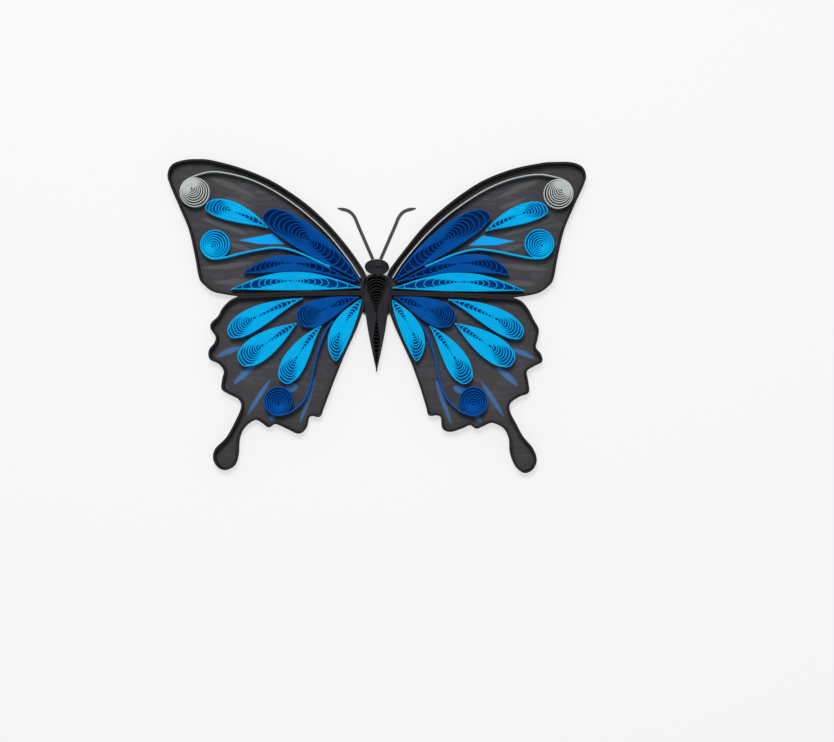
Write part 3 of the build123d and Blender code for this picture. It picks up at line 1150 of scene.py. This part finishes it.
@dataclass(frozen=True)
class PaperFinish:
    """Dyed paper strip, standing on edge: fibrous, with a paler cut edge, and a glow of painted light.

    A pattern is its scale, its detail and its roughness.
    """

    name: str
    edge: Colour
    face: Colour
    # Glow is painted light let through the paper and bounced between the turns, on the standing faces, or on
    # every face if it glows up
    glow: float = 0.0
    glows_up: bool = False
    rough: float = 0.72
    rough_play: float = 0.12
    mottle: float = 0.16
    cut_slope: Pair = (0.35, 0.9)
    fibre: Triple = (9000.0, 3.0, 0.6)
    cloud: Triple = (420.0, 2.0, 0.5)
    strand: Triple = (2600.0, 2.0, 0.6)
    strand_run: Triple = (1.0, 1.0, 0.25)
    fibre_share: float = 0.6
    relief: float = 0.35
    shine: float = 0.06

    def build(self) -> bpy.types.Material:
        """Make the material.

        Returns:
            The material.
        """
        material, board = start_material(self.name)
        place = board.node("ShaderNodeTexCoord")
        where = board.out(place, "Object")
        cut = board.smooth_step(board.part(board.out(place, "Normal"), "Z"), *self.cut_slope)
        fibre = board.noise(where, *self.fibre)
        cloud = board.noise(where, *self.cloud)
        strand = board.noise(board.vectors("MULTIPLY", where, self.strand_run), *self.strand)
        shade = 1.0
        for pattern in (fibre, cloud, strand):
            shade = shade + (pattern - 0.5) * self.mottle
        colour = board.shaded(board.mix(cut, self.face, self.edge), shade)
        grain = fibre * self.fibre_share + strand * (1 - self.fibre_share)
        # The emission is painted light: a glow on the standing faces, or on every face of a film that glows
        # up
        board.cover({"Base Color": colour, "Roughness": self.rough + (fibre - 0.5) * self.rough_play,
                     "Specular IOR Level": self.shine,
                     "Emission Color": colour if self.glows_up else board.mix(cut, colour, BLANK),
                     "Emission Strength": self.glow, "Normal": board.grain(self.relief, grain)})
        return material


@dataclass(frozen=True)
class PrintedCardFinish:
    """Dark printed card with brushed streaks and painted strokes.

    A pattern is its scale, its detail and its roughness.
    """

    name: str
    side: Side
    strokes: tuple[Stroke, ...]
    stroke: Colour
    wedge: Colour | None = None
    ground: Colour = paint(70, 68, 70)
    streak: Colour = paint(86, 82, 86)
    brush_run: Pair = (0.25, 1.0)
    brush: Triple = (0.22, 4.0, 0.6)
    brush_stray: float = 0.5
    streak_slope: Pair = (0.42, 0.78)
    cloud: Triple = (160.0, 2.0, 0.5)
    fine: Triple = (5200.0, 3.0, 0.65)
    ragged: Triple = (1500.0, 2.0, 0.6)
    raggedness: float = 1.6
    dry_slope: Pair = (0.2, 0.5)
    dry_share: float = 0.38
    wedge_slope: Pair = (-0.3, 0.4)
    mottle: float = 0.22
    rough: float = 0.7
    rough_play: float = 0.15
    relief: float = 0.3
    shine: float = 0.12

    def build(self) -> bpy.types.Material:
        """Make the material, with the print placed by the plan.

        Returns:
            The material.
        """
        material, board = start_material(self.name)
        where = board.wire("ShaderNodeTexCoord", output="Object")
        across = board.part(where, "X") * (self.side.value / MILLIMETRE)
        along = board.part(where, "Y") * (1 / MILLIMETRE)
        x = PLAN.root_column - (across - PLAN.wing_root) * (1 / PLAN.across_scale)
        y = PLAN.seam_row - along * (1 / PLAN.along_scale)
        brushed = board.vector(x * self.brush_run[0], y * self.brush_run[1])
        brush = board.noise(brushed, *self.brush)
        fine = board.noise(where, *self.fine)
        cloud = board.noise(where, *self.cloud) - 0.5
        streaks = board.smooth_step(brush + cloud * self.brush_stray, *self.streak_slope)
        colour = board.mix(streaks, self.ground, self.streak)
        dry = board.smooth_step(brush + (fine - 0.5) * self.brush_stray, *self.dry_slope)
        inked = self.stroke_mask(board, x, y, where) * ((1 - self.dry_share) + dry * self.dry_share)
        colour = board.mix(inked, colour, self.stroke)
        if self.wedge:
            colour = board.mix(self.wedge_mask(board, x, y), colour, self.wedge)
        colour = board.shaded(colour, 1.0 + (fine - 0.5) * self.mottle)
        board.cover({"Base Color": colour, "Roughness": self.rough + (fine - 0.5) * self.rough_play,
                     "Specular IOR Level": self.shine, "Normal": board.grain(self.relief, fine)})
        return material

    def stroke_mask(self, board: Board, x: Wire, y: Wire, where: Wire) -> Wire:
        """One inside any of the strokes, which have ragged edges.

        Args:
            board: The material's tree.
            x: The place along the span, in plan pixels.
            y: The place from head to tail, in plan pixels.
            where: The place on the object.

        Returns:
            The mask.
        """
        ragged = (board.noise(where, *self.ragged) - 0.5) * self.raggedness
        inside = None
        for stroke in self.strokes:
            one = stroke.mask(board, x, y, STROKE_SHIFT[self.side], ragged)
            inside = one if inside is None else board.sum("MAXIMUM", inside, one)
        return inside

    def wedge_mask(self, board: Board, x: Wire, y: Wire) -> Wire:
        """One inside the azure wedge, tested side by side.

        Args:
            board: The material's tree.
            x: The place along the span, in plan pixels.
            y: The place from head to tail, in plan pixels.

        Returns:
            The mask.
        """
        corners = AZURE_WEDGE[self.side]
        inside = None
        for (ax, ay), (bx, by) in zip(corners, corners[1:] + corners[:1]):
            length = math.hypot(bx - ax, by - ay)
            off = (x - ax) * ((ay - by) / length) + (y - ay) * ((bx - ax) / length)
            inside = off if inside is None else board.sum("MINIMUM", inside, off)
        return board.smooth_step(inside, *self.wedge_slope)


SEAMS = {
    Side.LEFT: [(305.0, 293.4), (238.0, 296.3)],
    Side.RIGHT: [(300.0, 294.8), (240.0, 297.4)],
}

FOREWING_EDGES = {
    Side.LEFT: [
        (224.0, 294.2), (212.5, 291.6), (204.5, 285.5), (199.0, 278.0), (194.7, 255.5), (188.8, 230.0),
        (179.0, 206.4), (169.5, 184.0), (167.4, 174.0), (172.0, 164.4), (184.0, 160.0), (198.0, 159.0),
        (212.0, 160.2), (240.0, 167.6), (268.0, 178.8), (290.0, 191.9), (310.0, 206.6), (330.0, 225.6),
        (350.0, 249.3),
    ],
    Side.RIGHT: [
        (226.0, 295.6), (213.5, 292.6), (205.0, 286.8), (199.5, 279.0), (195.2, 257.0), (188.8, 230.0),
        (178.5, 205.5), (168.8, 184.0), (166.9, 175.0), (171.0, 166.4), (182.0, 162.2), (198.0, 161.9),
        (212.0, 163.0), (240.0, 168.8), (268.0, 179.4), (290.0, 192.8), (310.0, 208.2), (330.0, 226.6),
        (350.0, 251.0),
    ],
}

HINDWING_EDGES = {
    Side.LEFT: [
        (229.5, 300.6), (222.0, 308.5), (218.0, 316.0), (211.0, 323.0), (210.6, 329.0), (215.6, 336.8),
        (214.0, 343.0), (208.6, 350.5), (209.6, 359.2), (218.5, 364.0), (223.6, 371.0), (222.0, 379.5),
        (221.6, 389.2), (229.5, 394.6), (238.5, 399.6), (240.9, 407.5), (234.0, 423.5), (226.0, 437.4),
        (215.0, 448.8), (213.0, 459.0), (218.0, 467.6), (226.0, 470.3), (234.2, 465.8), (238.0, 455.5),
        (239.4, 438.5), (244.8, 427.3), (255.0, 420.3), (262.5, 423.4), (268.6, 427.7), (275.5, 424.3),
        (287.0, 429.0), (299.0, 434.0), (306.3, 428.0), (309.0, 418.0), (313.0, 416.2), (319.8, 417.2),
    ],
    Side.RIGHT: [
        (231.5, 301.0), (224.5, 309.2), (219.0, 320.0), (214.2, 329.0), (215.4, 339.0), (217.0, 347.2),
        (212.0, 354.0), (210.8, 361.8), (219.5, 366.6), (226.0, 371.6), (224.8, 381.0), (224.2, 392.6),
        (233.5, 396.8), (242.3, 403.2), (242.8, 411.5), (236.5, 424.0), (230.0, 436.0), (219.8, 448.5),
        (216.2, 460.0), (220.2, 469.6), (229.0, 473.2), (237.6, 466.5), (243.0, 453.0), (244.2, 438.5),
        (249.6, 428.4), (261.0, 423.1), (269.5, 426.2), (277.0, 428.9), (283.0, 425.4), (291.0, 428.6),
        (303.0, 432.1), (311.0, 428.4), (312.4, 418.0), (316.5, 415.5), (324.5, 415.8),
    ],
}

INNER_EDGES = {
    Side.LEFT: [(322.9, 410.5), (333.6, 382.0), (343.2, 358.0), (357.2, 327.6), (364.2, 308.0)],
    Side.RIGHT: [(326.8, 408.5), (333.0, 388.0), (341.6, 364.0), (358.2, 328.0), (364.2, 312.5)],
}


@dataclass(frozen=True)
class Wing:
    """One wing's sheet, and the two plies of black strip that stand round it. Sizes are millimetres."""

    name: str
    seams: dict[Side, list[Point]]
    edges: dict[Side, list[Point]]
    ply_insets: Pair = (0.14, 0.37)
    ply_thickness: float = 0.24
    sheet_inset: float = 0.47
    spacing: float = 0.16
    bend: float = 0.12

    def inner(self, side: Side) -> list[Point]:
        """The wing's edge by the body, in millimetres, from its cut edge inwards."""
        return PLAN.place_all(INNER_EDGES[side], side)

    def outline(self, side: Side, distance: float) -> list[Point]:
        """The wing's outline, moved inwards by a distance and smooth from its seam to its inner edge.

        Args:
            side: The half of the butterfly.
            distance: How far it moves.

        Returns:
            The outline's points.
        """
        seam = [(side.value * PLAN.wing_root, 0.0), *PLAN.place_all(self.seams[side], side)]
        inner = self.inner(side)
        corners = inset([*seam, *PLAN.place_all(self.edges[side], side), *inner], distance)
        first, last = len(seam) - 1, len(corners) - len(inner) + 1
        line = [*corners[:first], *smooth(corners[first:last], self.spacing), *corners[last:]]
        return even_out(line, self.spacing, closed=True, soften=self.bend)

    def build_rim(self, side: Side, winder: StripWinder, paper: bpy.types.Material) -> bpy.types.Object:
        """Stand the two plies of the rim on edge.

        Args:
            side: The half of the butterfly.
            winder: What stands strips on edge.
            paper: The rim's material.

        Returns:
            The finished piece.
        """
        lines = [self.outline(side, distance) for distance in self.ply_insets]
        return winder.wind(f"{side.word}_{self.name}_edging", lines, PLAN.ground_level,
                           self.ply_thickness, paper, closed=True)

    def build_sheet(self, side: Side, card: bpy.types.Material) -> bpy.types.Object:
        """Cut the wing's flat sheet."""
        return cut_card(f"{side.word}_{self.name}_card", self.outline(side, self.sheet_inset), card)


@dataclass(frozen=True)
class Forewing(Wing):
    """A forewing, whose leading rim ends between the head and the body."""

    head_share: float = 1 / 8

    def inner(self, side: Side) -> list[Point]:
        """The short way from the head's side to the wing's root.

        Args:
            side: The half of the butterfly.

        Returns:
            Its points.
        """
        across = (PLAN.head_width / 2 + PLAN.glue_gap, PLAN.wing_root - PLAN.root_tuck, PLAN.wing_root)
        along = (PLAN.head_middle - PLAN.head_depth * self.head_share, PLAN.body_front,
                 PLAN.body_front - PLAN.root_drop)
        return [(side.value * x, y) for x, y in zip(across, along)]


@dataclass(frozen=True)
class Body(Coil):
    """The long coil between the wings, pinched at its tail."""

    def put(self, side: Side, line: Sequence[Point]) -> list[Point]:
        """Place points along and across the body in the middle of the butterfly."""
        return [(-off * PLAN.scale, PLAN.body_front - run * PLAN.scale) for run, off in line]

    def title(self, side: Side) -> str:
        """What the body's piece is called, which has no side."""
        return "body_wound"


@dataclass(frozen=True)
class Head:
    """A tight oval coil with a small eye left in its middle. Sizes are millimetres."""

    turns: int = 8
    strip: float = 0.19
    eye_width: float = 0.6
    eye_depth: float = 0.32
    per_turn: int = 90
    film_inset: float = 0.03
    film_step: int = 3

    def path(self) -> list[Point]:
        """Wind the strip from its outer end to the eye.

        Returns:
            The strip's points.
        """
        line = []
        count = self.turns * self.per_turn
        for step in range(count + 1):
            share = step / count
            turn = 2 * math.pi * self.turns * share - math.pi / 2
            half_width = (PLAN.head_width - self.strip) / 2 * (1 - share) + self.eye_width / 2 * share
            half_depth = (PLAN.head_depth - self.strip) / 2 * (1 - share) + self.eye_depth / 2 * share
            line.append((half_width * math.cos(turn), PLAN.head_middle + half_depth * math.sin(turn)))
        return line

    def build(self, winder: StripWinder, stock: Stock) -> bpy.types.Object:
        """Wind the head, stand it on the ground plane and close it underneath.

        Args:
            winder: What stands strips on edge.
            stock: The head's paper.

        Returns:
            The finished piece.
        """
        line = self.path()
        film = inset(line[:self.per_turn:self.film_step], self.film_inset)
        return winder.wind_coil("head_wound", line, PLAN.ground_level, self.strip, stock, film)


@dataclass(frozen=True)
class Antenna:
    """A flat feeler of olive card that hooks outwards at its tip. Sizes are millimetres."""

    width: float = 0.7
    root: float = 0.45
    spread: float = 8.2
    rise: float = 10.6
    hook_start: Point = (4.7, 8.9)
    hook_bend: Point = (6.0, 10.1)
    taper: float = 1.2
    tip: float = 0.02
    spacing: float = 0.08
    bend: float = 0.3

    def middle_line(self, side: Side) -> list[Point]:
        """The line down the middle of the feeler, from the head to its tip.

        Args:
            side: The half of the butterfly.

        Returns:
            The line's points.
        """
        front = PLAN.head_middle + PLAN.head_depth / 2
        root = (self.root, front - PLAN.head_depth / 4)
        start = (self.hook_start[0], front + self.hook_start[1])
        bend = (self.hook_bend[0], front + self.hook_bend[1])
        tip = (self.spread, front + self.rise)
        before = ((root[0] + 3 * start[0]) / 4, (root[1] + 3 * start[1]) / 4)
        line = even_out(smooth([root, before, start, bend, tip], self.spacing), self.spacing,
                        closed=False, soften=self.bend)
        return [(side.value * x, y) for x, y in line]

    def build(self, side: Side, card: bpy.types.Material) -> bpy.types.Object:
        """Cut the feeler out of card, clear of the head.

        Args:
            side: The half of the butterfly.
            card: The feeler's material.

        Returns:
            The finished piece.
        """
        line = self.middle_line(side)
        clear = (PLAN.head_width / 2 + PLAN.glue_gap, PLAN.head_depth / 2 + PLAN.glue_gap)
        edges: list[list[Point]] = [[], []]
        for index, (x, y) in enumerate(line):
            before, after = line[max(index - 1, 0)], line[min(index + 1, len(line) - 1)]
            run = math.dist(before, after)
            across = ((before[1] - after[1]) / run, (after[0] - before[0]) / run)
            left = (len(line) - 1 - index) * self.spacing
            half = self.width / 2 * min(1.0, math.sqrt((left + self.tip) / self.taper))
            for edge, sign in zip(edges, (1, -1)):
                point = (x + sign * half * across[0], y + sign * half * across[1])
                if math.hypot(point[0] / clear[0], (point[1] - PLAN.head_middle) / clear[1]) > 1:
                    edge.append(point)
        return cut_card(f"{side.word}_feeler", edges[0] + edges[1][::-1], card)


@dataclass(frozen=True)
class Studio:
    """Plain soft light, a pale floor and the camera straight above, all in metres.

    The floor is dimmed with painted shade in an ellipse about the body, whose middle and reach are
    millimetres.
    """

    camera_place: Triple = (0.0084, -0.0162, 0.503)
    lens: float = 104.0
    nearest: float = 0.01
    light_place: Triple = (-0.03, 0.2, 0.6)
    light_size: float = 0.19
    light_power: float = 2.3
    sky: float = 0.43
    floor_reach: float = 2.0
    floor_gap: float = 0.00001
    floor_shade: float = 0.93
    floor_rough: float = 0.9
    floor_shine: float = 0.1
    seen_shade: float = 0.3
    seen_glow: float = 0.65
    crack_shade: float = 0.04
    dim_middle: Point = (0.0, -0.5)
    dim_reach: Pair = (4.2, 4.4)
    dim_slope: Pair = (1.0, 1.35)

    def build(self) -> None:
        """Put up the floor, the lights and the camera."""
        scene = bpy.context.scene
        scene.view_settings.view_transform = "Standard"
        self.build_floor()
        self.build_light()
        camera = bpy.data.objects.new("camera", bpy.data.cameras.new("camera"))
        camera.data.lens = self.lens
        camera.data.clip_start = self.nearest
        camera.location = self.camera_place
        scene.collection.objects.link(camera)
        scene.camera = camera

    def build_floor(self) -> None:
        """Lay the pale floor just under the butterfly."""
        mesh = bpy.data.meshes.new("floor")
        corners = [(x * self.floor_reach, y * self.floor_reach, -self.floor_gap)
                   for x, y in ((-1, -1), (1, -1), (1, 1), (-1, 1))]
        mesh.from_pydata(corners, [], [(0, 1, 2, 3)])
        mesh.materials.append(self.floor_material())
        floor = bpy.data.objects.new("floor", mesh)
        bpy.context.scene.collection.objects.link(floor)

    def floor_material(self) -> bpy.types.Material:
        """Make the floor white as the camera sees it, but dark with painted shade in the cracks beside the
        body.

        Returns:
            The material.
        """
        material, board = start_material("pale_floor")
        where = board.wire("ShaderNodeTexCoord", output="Object")
        away = 0.0
        for axis, middle, extent in zip("XY", self.dim_middle, self.dim_reach):
            off = (board.part(where, axis) - middle * MILLIMETRE) * (1 / (extent * MILLIMETRE))
            away = away + off * off
        clear = board.smooth_step(away, *self.dim_slope)
        ray = board.node("ShaderNodeLightPath")
        seen = board.out(ray, "Is Camera Ray")
        for also in ("Is Glossy Ray", "Is Transmission Ray"):
            seen = board.sum("MAXIMUM", seen, board.out(ray, also))
        # Inside the ellipse the camera sees painted shade: the floor dark and without its glow
        shown = board.mix(clear, (self.crack_shade,) * 3, (self.seen_shade,) * 3)
        board.cover({"Base Color": board.mix(seen, (self.floor_shade,) * 3, shown),
                     "Roughness": self.floor_rough, "Specular IOR Level": self.floor_shine,
                     "Emission Strength": 1.0,
                     "Emission Color": board.mix(seen * clear, BLANK, (self.seen_glow,) * 3)})
        return material

    def build_light(self) -> None:
        """Hang one soft lamp and light the world evenly."""
        lamp = bpy.data.lights.new("soft_lamp", "AREA")
        lamp.shape = "DISK"
        lamp.size = self.light_size
        lamp.energy = self.light_power
        hung = bpy.data.objects.new("soft_lamp", lamp)
        hung.location = self.light_place
        hung.rotation_euler = Vector(self.light_place).to_track_quat("Z", "Y").to_euler()
        bpy.context.scene.collection.objects.link(hung)
        world = bpy.data.worlds.new("even_sky")
        bpy.context.scene.world = world
        world.use_nodes = True
        board = Board(world.node_tree)
        glow = board.wire("ShaderNodeBackground", None,
                          {"Color": (1.0, 1.0, 1.0, 1.0), "Strength": self.sky})
        board.node("ShaderNodeOutputWorld", None, {"Surface": glow})


def attach(piece: bpy.types.Object, node: str) -> None:
    """Put a piece in a node's place and let it ride with the butterfly.

    Args:
        piece: The finished piece.
        node: The node that it stands for.
    """
    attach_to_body(piece, "root")
    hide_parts(node)
    log.info("%s stands for %s with %d faces", piece.name, node, len(piece.data.polygons))


FOREWING = Forewing("forewing", SEAMS, FOREWING_EDGES)
HINDWING = Wing("hindwing", SEAMS, HINDWING_EDGES)

LARGE_LEAF = Coil("large_leaf", Paper.DARK_BLUE,
                  ends={Side.LEFT: (263.2, 215.4)}, tips={Side.LEFT: (359.4, 281.2)},
                  upper=(19.0, 0.40, 0.8), lower=(8.2, 0.50, 1.3), eye=0.45, turns=13,
                  tip_folds=(0.0, 1.56), end_folds=(0.0, 1.53), snug=0.78, chevron=(1.2, 10.0, 0.8),
                  crescent=(0.9, 16.0, 0.9), open_swelling=1.15)
CURVED_LEAF = Coil("curved_leaf", Paper.DARK_BLUE,
                   ends={Side.LEFT: (243.5, 272.8)}, tips={Side.LEFT: (356.0, 281.2)},
                   upper=(21.0, 1.00, 1.4), lower=(-6.2, 2.00, 1.5), eye=0.42, turns=12,
                   tip_folds=(0.05, 1.95), end_folds=(0.1, 1.7), chevron=(0.25, 8.0, 0.78),
                   crescent=(0.25, 8.0, 0.78), blunt=1.2, round_blunt=1.2, open_swelling=1.1)
COILS = (
    Coil("upper_drop", Paper.LIGHT_BLUE,
         ends=both((205.6, 207.2), (205.3, 209.8)), tips=both((268.0, 227.9), (267.6, 231.2)),
         upper=(13.9, 0.45, 0.86), lower=(5.6, 0.45, 1.4), eye=0.38, turns=9,
         tip_folds=(0.1, 1.35), end_folds=(0.0, 1.15), crescent=(0.15, 14.0, 0.85), round_blunt=1.0,
         open_swelling=1.2),
    LARGE_LEAF,
    replace(LARGE_LEAF, ends={Side.RIGHT: (262.9, 215.8)}, tips={Side.RIGHT: (358.4, 281.0)},
            upper=(18.2, 0.40, 0.8), lower=(6.9, 0.50, 1.3)),
    CURVED_LEAF,
    replace(CURVED_LEAF, ends={Side.RIGHT: (244.2, 275.0)}, tips={Side.RIGHT: (356.0, 281.8)},
            upper=(23.1, 0.65, 1.2), lower=(-5.8, 1.10, 1.2)),
    Coil("long_leaf", Paper.LIGHT_BLUE,
         ends=both((231.0, 289.3), (228.8, 290.8)), tips=both((360.8, 287.6), (360.8, 288.0)),
         upper=(16.6, 1.10, 1.2), lower=(1.8, 1.40, 1.1), eye=0.47, turns=12,
         tip_folds=(0.05, 2.2), end_folds=(0.05, 2.15), chevron=(0.25, 8.5, 0.78),
         crescent=(0.25, 8.5, 0.78), blunt=1.4, round_blunt=1.4, open_swelling=1.1),
    Coil("outer_drop", Paper.LIGHT_BLUE,
         ends=both((229.0, 334.8), (230.8, 335.9)), tips=both((302.8, 298.5), (304.9, 299.5)),
         upper=(14.5, 0.47, 0.96), lower=(8.4, 0.47, 1.6), eye=0.39, turns=12,
         tip_folds=(0.0, 1.3), end_folds=(0.0, 1.08)),
    Coil("middle_drop", Paper.LIGHT_BLUE,
         ends=both((240.0, 362.5), (240.3, 363.3)), tips=both((296.5, 323.4), (298.3, 323.4)),
         upper=(13.4, 0.45, 0.95), lower=(11.8, 0.47, 1.05), eye=0.43, turns=11,
         tip_folds=(0.1, 1.4), end_folds=(0.0, 1.15)),
    Coil("inner_drop", Paper.LIGHT_BLUE,
         ends=both((282.8, 382.0), (284.6, 382.2)), tips=both((321.6, 326.0), (323.8, 326.2)),
         upper=(13.2, 0.48, 0.85), lower=(10.0, 0.47, 1.5), eye=0.43, turns=11,
         tip_folds=(0.1, 1.3), end_folds=(0.0, 1.15)),
    Coil("body_drop", Paper.LIGHT_BLUE,
         ends=both((335.5, 360.6), (336.1, 360.8)), tips=both((360.8, 299.6), (360.6, 300.2)),
         upper=(16.4, 0.69, 1.0), lower=(4.2, 0.40, 0.5), eye=0.42, turns=10,
         tip_folds=(0.3, 1.45), end_folds=(0.0, 1.15), chevron=(0.15, 5.5, 0.58), round_blunt=1.3),
    Coil("royal_drop", Paper.DARK_BLUE,
         ends=both((298.3, 321.0), (299.4, 321.0)), tips=both((359.0, 297.2), (359.4, 297.2)),
         upper=(13.8, 0.37, 1.0), lower=(12.0, 0.54, 1.5), eye=0.45, turns=13,
         tip_folds=(0.1, 2.05), end_folds=(0.0, 1.2), chevron=(0.15, 7.0, 0.62), blunt=1.0),
)

SCROLLS = (
    Scroll("silver_scroll", Paper.SILVER, centres=both((195.1, 192.2), (195.1, 193.8)),
           eye_offset=(-3.2, -4.0), radius=15.4, turns=8, tails=both(
        [(190.0, 178.6), (200.0, 174.2), (213.0, 171.8), (230.0, 173.9), (250.0, 179.4), (270.0, 188.6),
         (290.0, 201.2), (310.0, 216.9), (330.0, 236.2), (350.0, 261.4), (360.6, 277.6)],
        [(190.0, 180.4), (200.0, 176.6), (213.0, 174.6), (230.0, 176.4), (250.0, 182.0), (270.0, 191.2),
         (290.0, 203.8), (310.0, 219.0), (330.0, 238.2), (350.0, 261.8), (360.6, 278.0)],
    ), tail_swelling=1.05),
    Scroll("sky_scroll", Paper.LIGHT_BLUE, centres=both((215.5, 244.6), (214.2, 244.0)),
           eye_offset=(-2.9, 2.0), radius=15.2, turns=7, tails=both(
        [(212.0, 258.6), (224.0, 257.6), (240.0, 253.6), (258.0, 249.8), (275.0, 247.6), (290.0, 249.6),
         (305.0, 255.2), (319.0, 261.7), (330.0, 266.9)],
        [(210.4, 258.0), (222.5, 258.0), (240.0, 254.8), (258.0, 251.2), (275.0, 249.3), (290.0, 251.8),
         (305.0, 256.7), (317.0, 261.9), (328.0, 266.4)],
    )),
    Scroll("royal_scroll", Paper.DARK_BLUE, centres=both((278.8, 401.0), (280.0, 401.2)),
           eye_offset=(0.3, 3.4), radius=14.9, turns=7, tails=both(
        [(282.0, 414.2), (293.0, 410.6), (304.0, 400.4), (310.6, 384.6), (315.0, 363.0), (320.0, 345.5),
         (327.0, 328.8), (333.0, 321.4)],
        [(283.0, 414.2), (294.0, 410.2), (305.4, 399.6), (312.4, 384.6), (317.0, 363.0), (322.0, 345.5),
         (328.6, 329.6), (334.4, 322.4)],
    )),
)

BODY_SIDE = (PLAN.body_width / 2 / PLAN.scale, 0.28, 1.05)
BODY = Body("body_coil", Paper.BLACK,
            ends={Side.LEFT: (0.0, 0.0)}, tips={Side.LEFT: (0.0, PLAN.body_length / PLAN.scale)},
            upper=BODY_SIDE, lower=BODY_SIDE, eye=0.385, turns=14,
            tip_folds=(0.12, 1.0), end_folds=(0.0, 1.15), chevron=(0.4, 9.0, 0.52),
            crescent=(0.4, 11.0, 0.85), open_swelling=1.0, base=PLAN.ground_level)

RIM_PAPER = PaperFinish("rim_paper", paint(47, 44, 46), paint(22, 22, 24))
OLIVE_CARD = PaperFinish("antenna_card", paint(74, 79, 74), paint(50, 52, 50))
# The films' colours are painted shade, seen deep between the turns of each coil
LIGHT_BLUE_GAP_SHADE, DARK_BLUE_GAP_SHADE, SILVER_GAP_SHADE, BLACK_GAP_SHADE = (
    paint(0, 56, 112), paint(0, 34, 80), paint(46, 50, 48), paint(12, 12, 14))
# Each glow is painted light: on the strips, light let through the paper; on the blue films, light bounced
# between the turns
FINISHES = {
    Paper.LIGHT_BLUE: (PaperFinish("light_blue_paper", paint(0, 178, 236), paint(0, 166, 226), glow=0.1),
                       PaperFinish("deep_light_blue", LIGHT_BLUE_GAP_SHADE, LIGHT_BLUE_GAP_SHADE, glow=0.65, glows_up=True)),
    Paper.DARK_BLUE: (PaperFinish("dark_blue_paper", paint(0, 82, 162), paint(0, 82, 165), glow=0.1),
                      PaperFinish("deep_dark_blue", DARK_BLUE_GAP_SHADE, DARK_BLUE_GAP_SHADE, glow=0.65, glows_up=True)),
    Paper.SILVER: (PaperFinish("silver_paper", paint(190, 197, 193), paint(160, 167, 164), glow=0.04),
                   PaperFinish("deep_silver", SILVER_GAP_SHADE, SILVER_GAP_SHADE)),
    Paper.BLACK: (PaperFinish("black_paper", paint(50, 49, 53), paint(24, 24, 26)),
                  PaperFinish("deep_black", BLACK_GAP_SHADE, BLACK_GAP_SHADE)),
}
PRINTS = (
    (FOREWING, FOREWING_STROKES, paint(92, 91, 91), paint(0, 176, 247)),
    (HINDWING, HINDWING_STROKES, paint(72, 116, 166), None),
)


def main() -> None:
    """Build the butterfly from its frame up."""
    logging.basicConfig(level=logging.INFO, format="%(message)s")
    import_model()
    stocks = {paper: Stock(strip.build(), deep.build()) for paper, (strip, deep) in FINISHES.items()}
    rim_paper, olive_card = RIM_PAPER.build(), OLIVE_CARD.build()
    winder = StripWinder()
    for side in Side:
        for wing, strokes, stroke, wedge in PRINTS:
            attach(wing.build_rim(side, winder, rim_paper), f"{side.word}_{wing.name}_rim")
            card = PrintedCardFinish(f"{side.word}_{wing.name}_print", side, strokes, stroke, wedge).build()
            attach(wing.build_sheet(side, card), f"{side.word}_{wing.name}_sheet")
        for coil in [coil for coil in COILS if side in coil.ends] + list(SCROLLS):
            piece = coil.build(side, winder, stocks[coil.paper])
            attach(piece, f"{side.word}_{coil.name}")
        attach(Antenna().build(side, olive_card), f"{side.word}_antenna")
    attach(BODY.build(Side.LEFT, winder, stocks[BODY.paper]), "body_coil")
    attach(Head().build(winder, stocks[Paper.BLACK]), "head_coil")
    Studio().build()


if __name__ == "__main__":
    main()
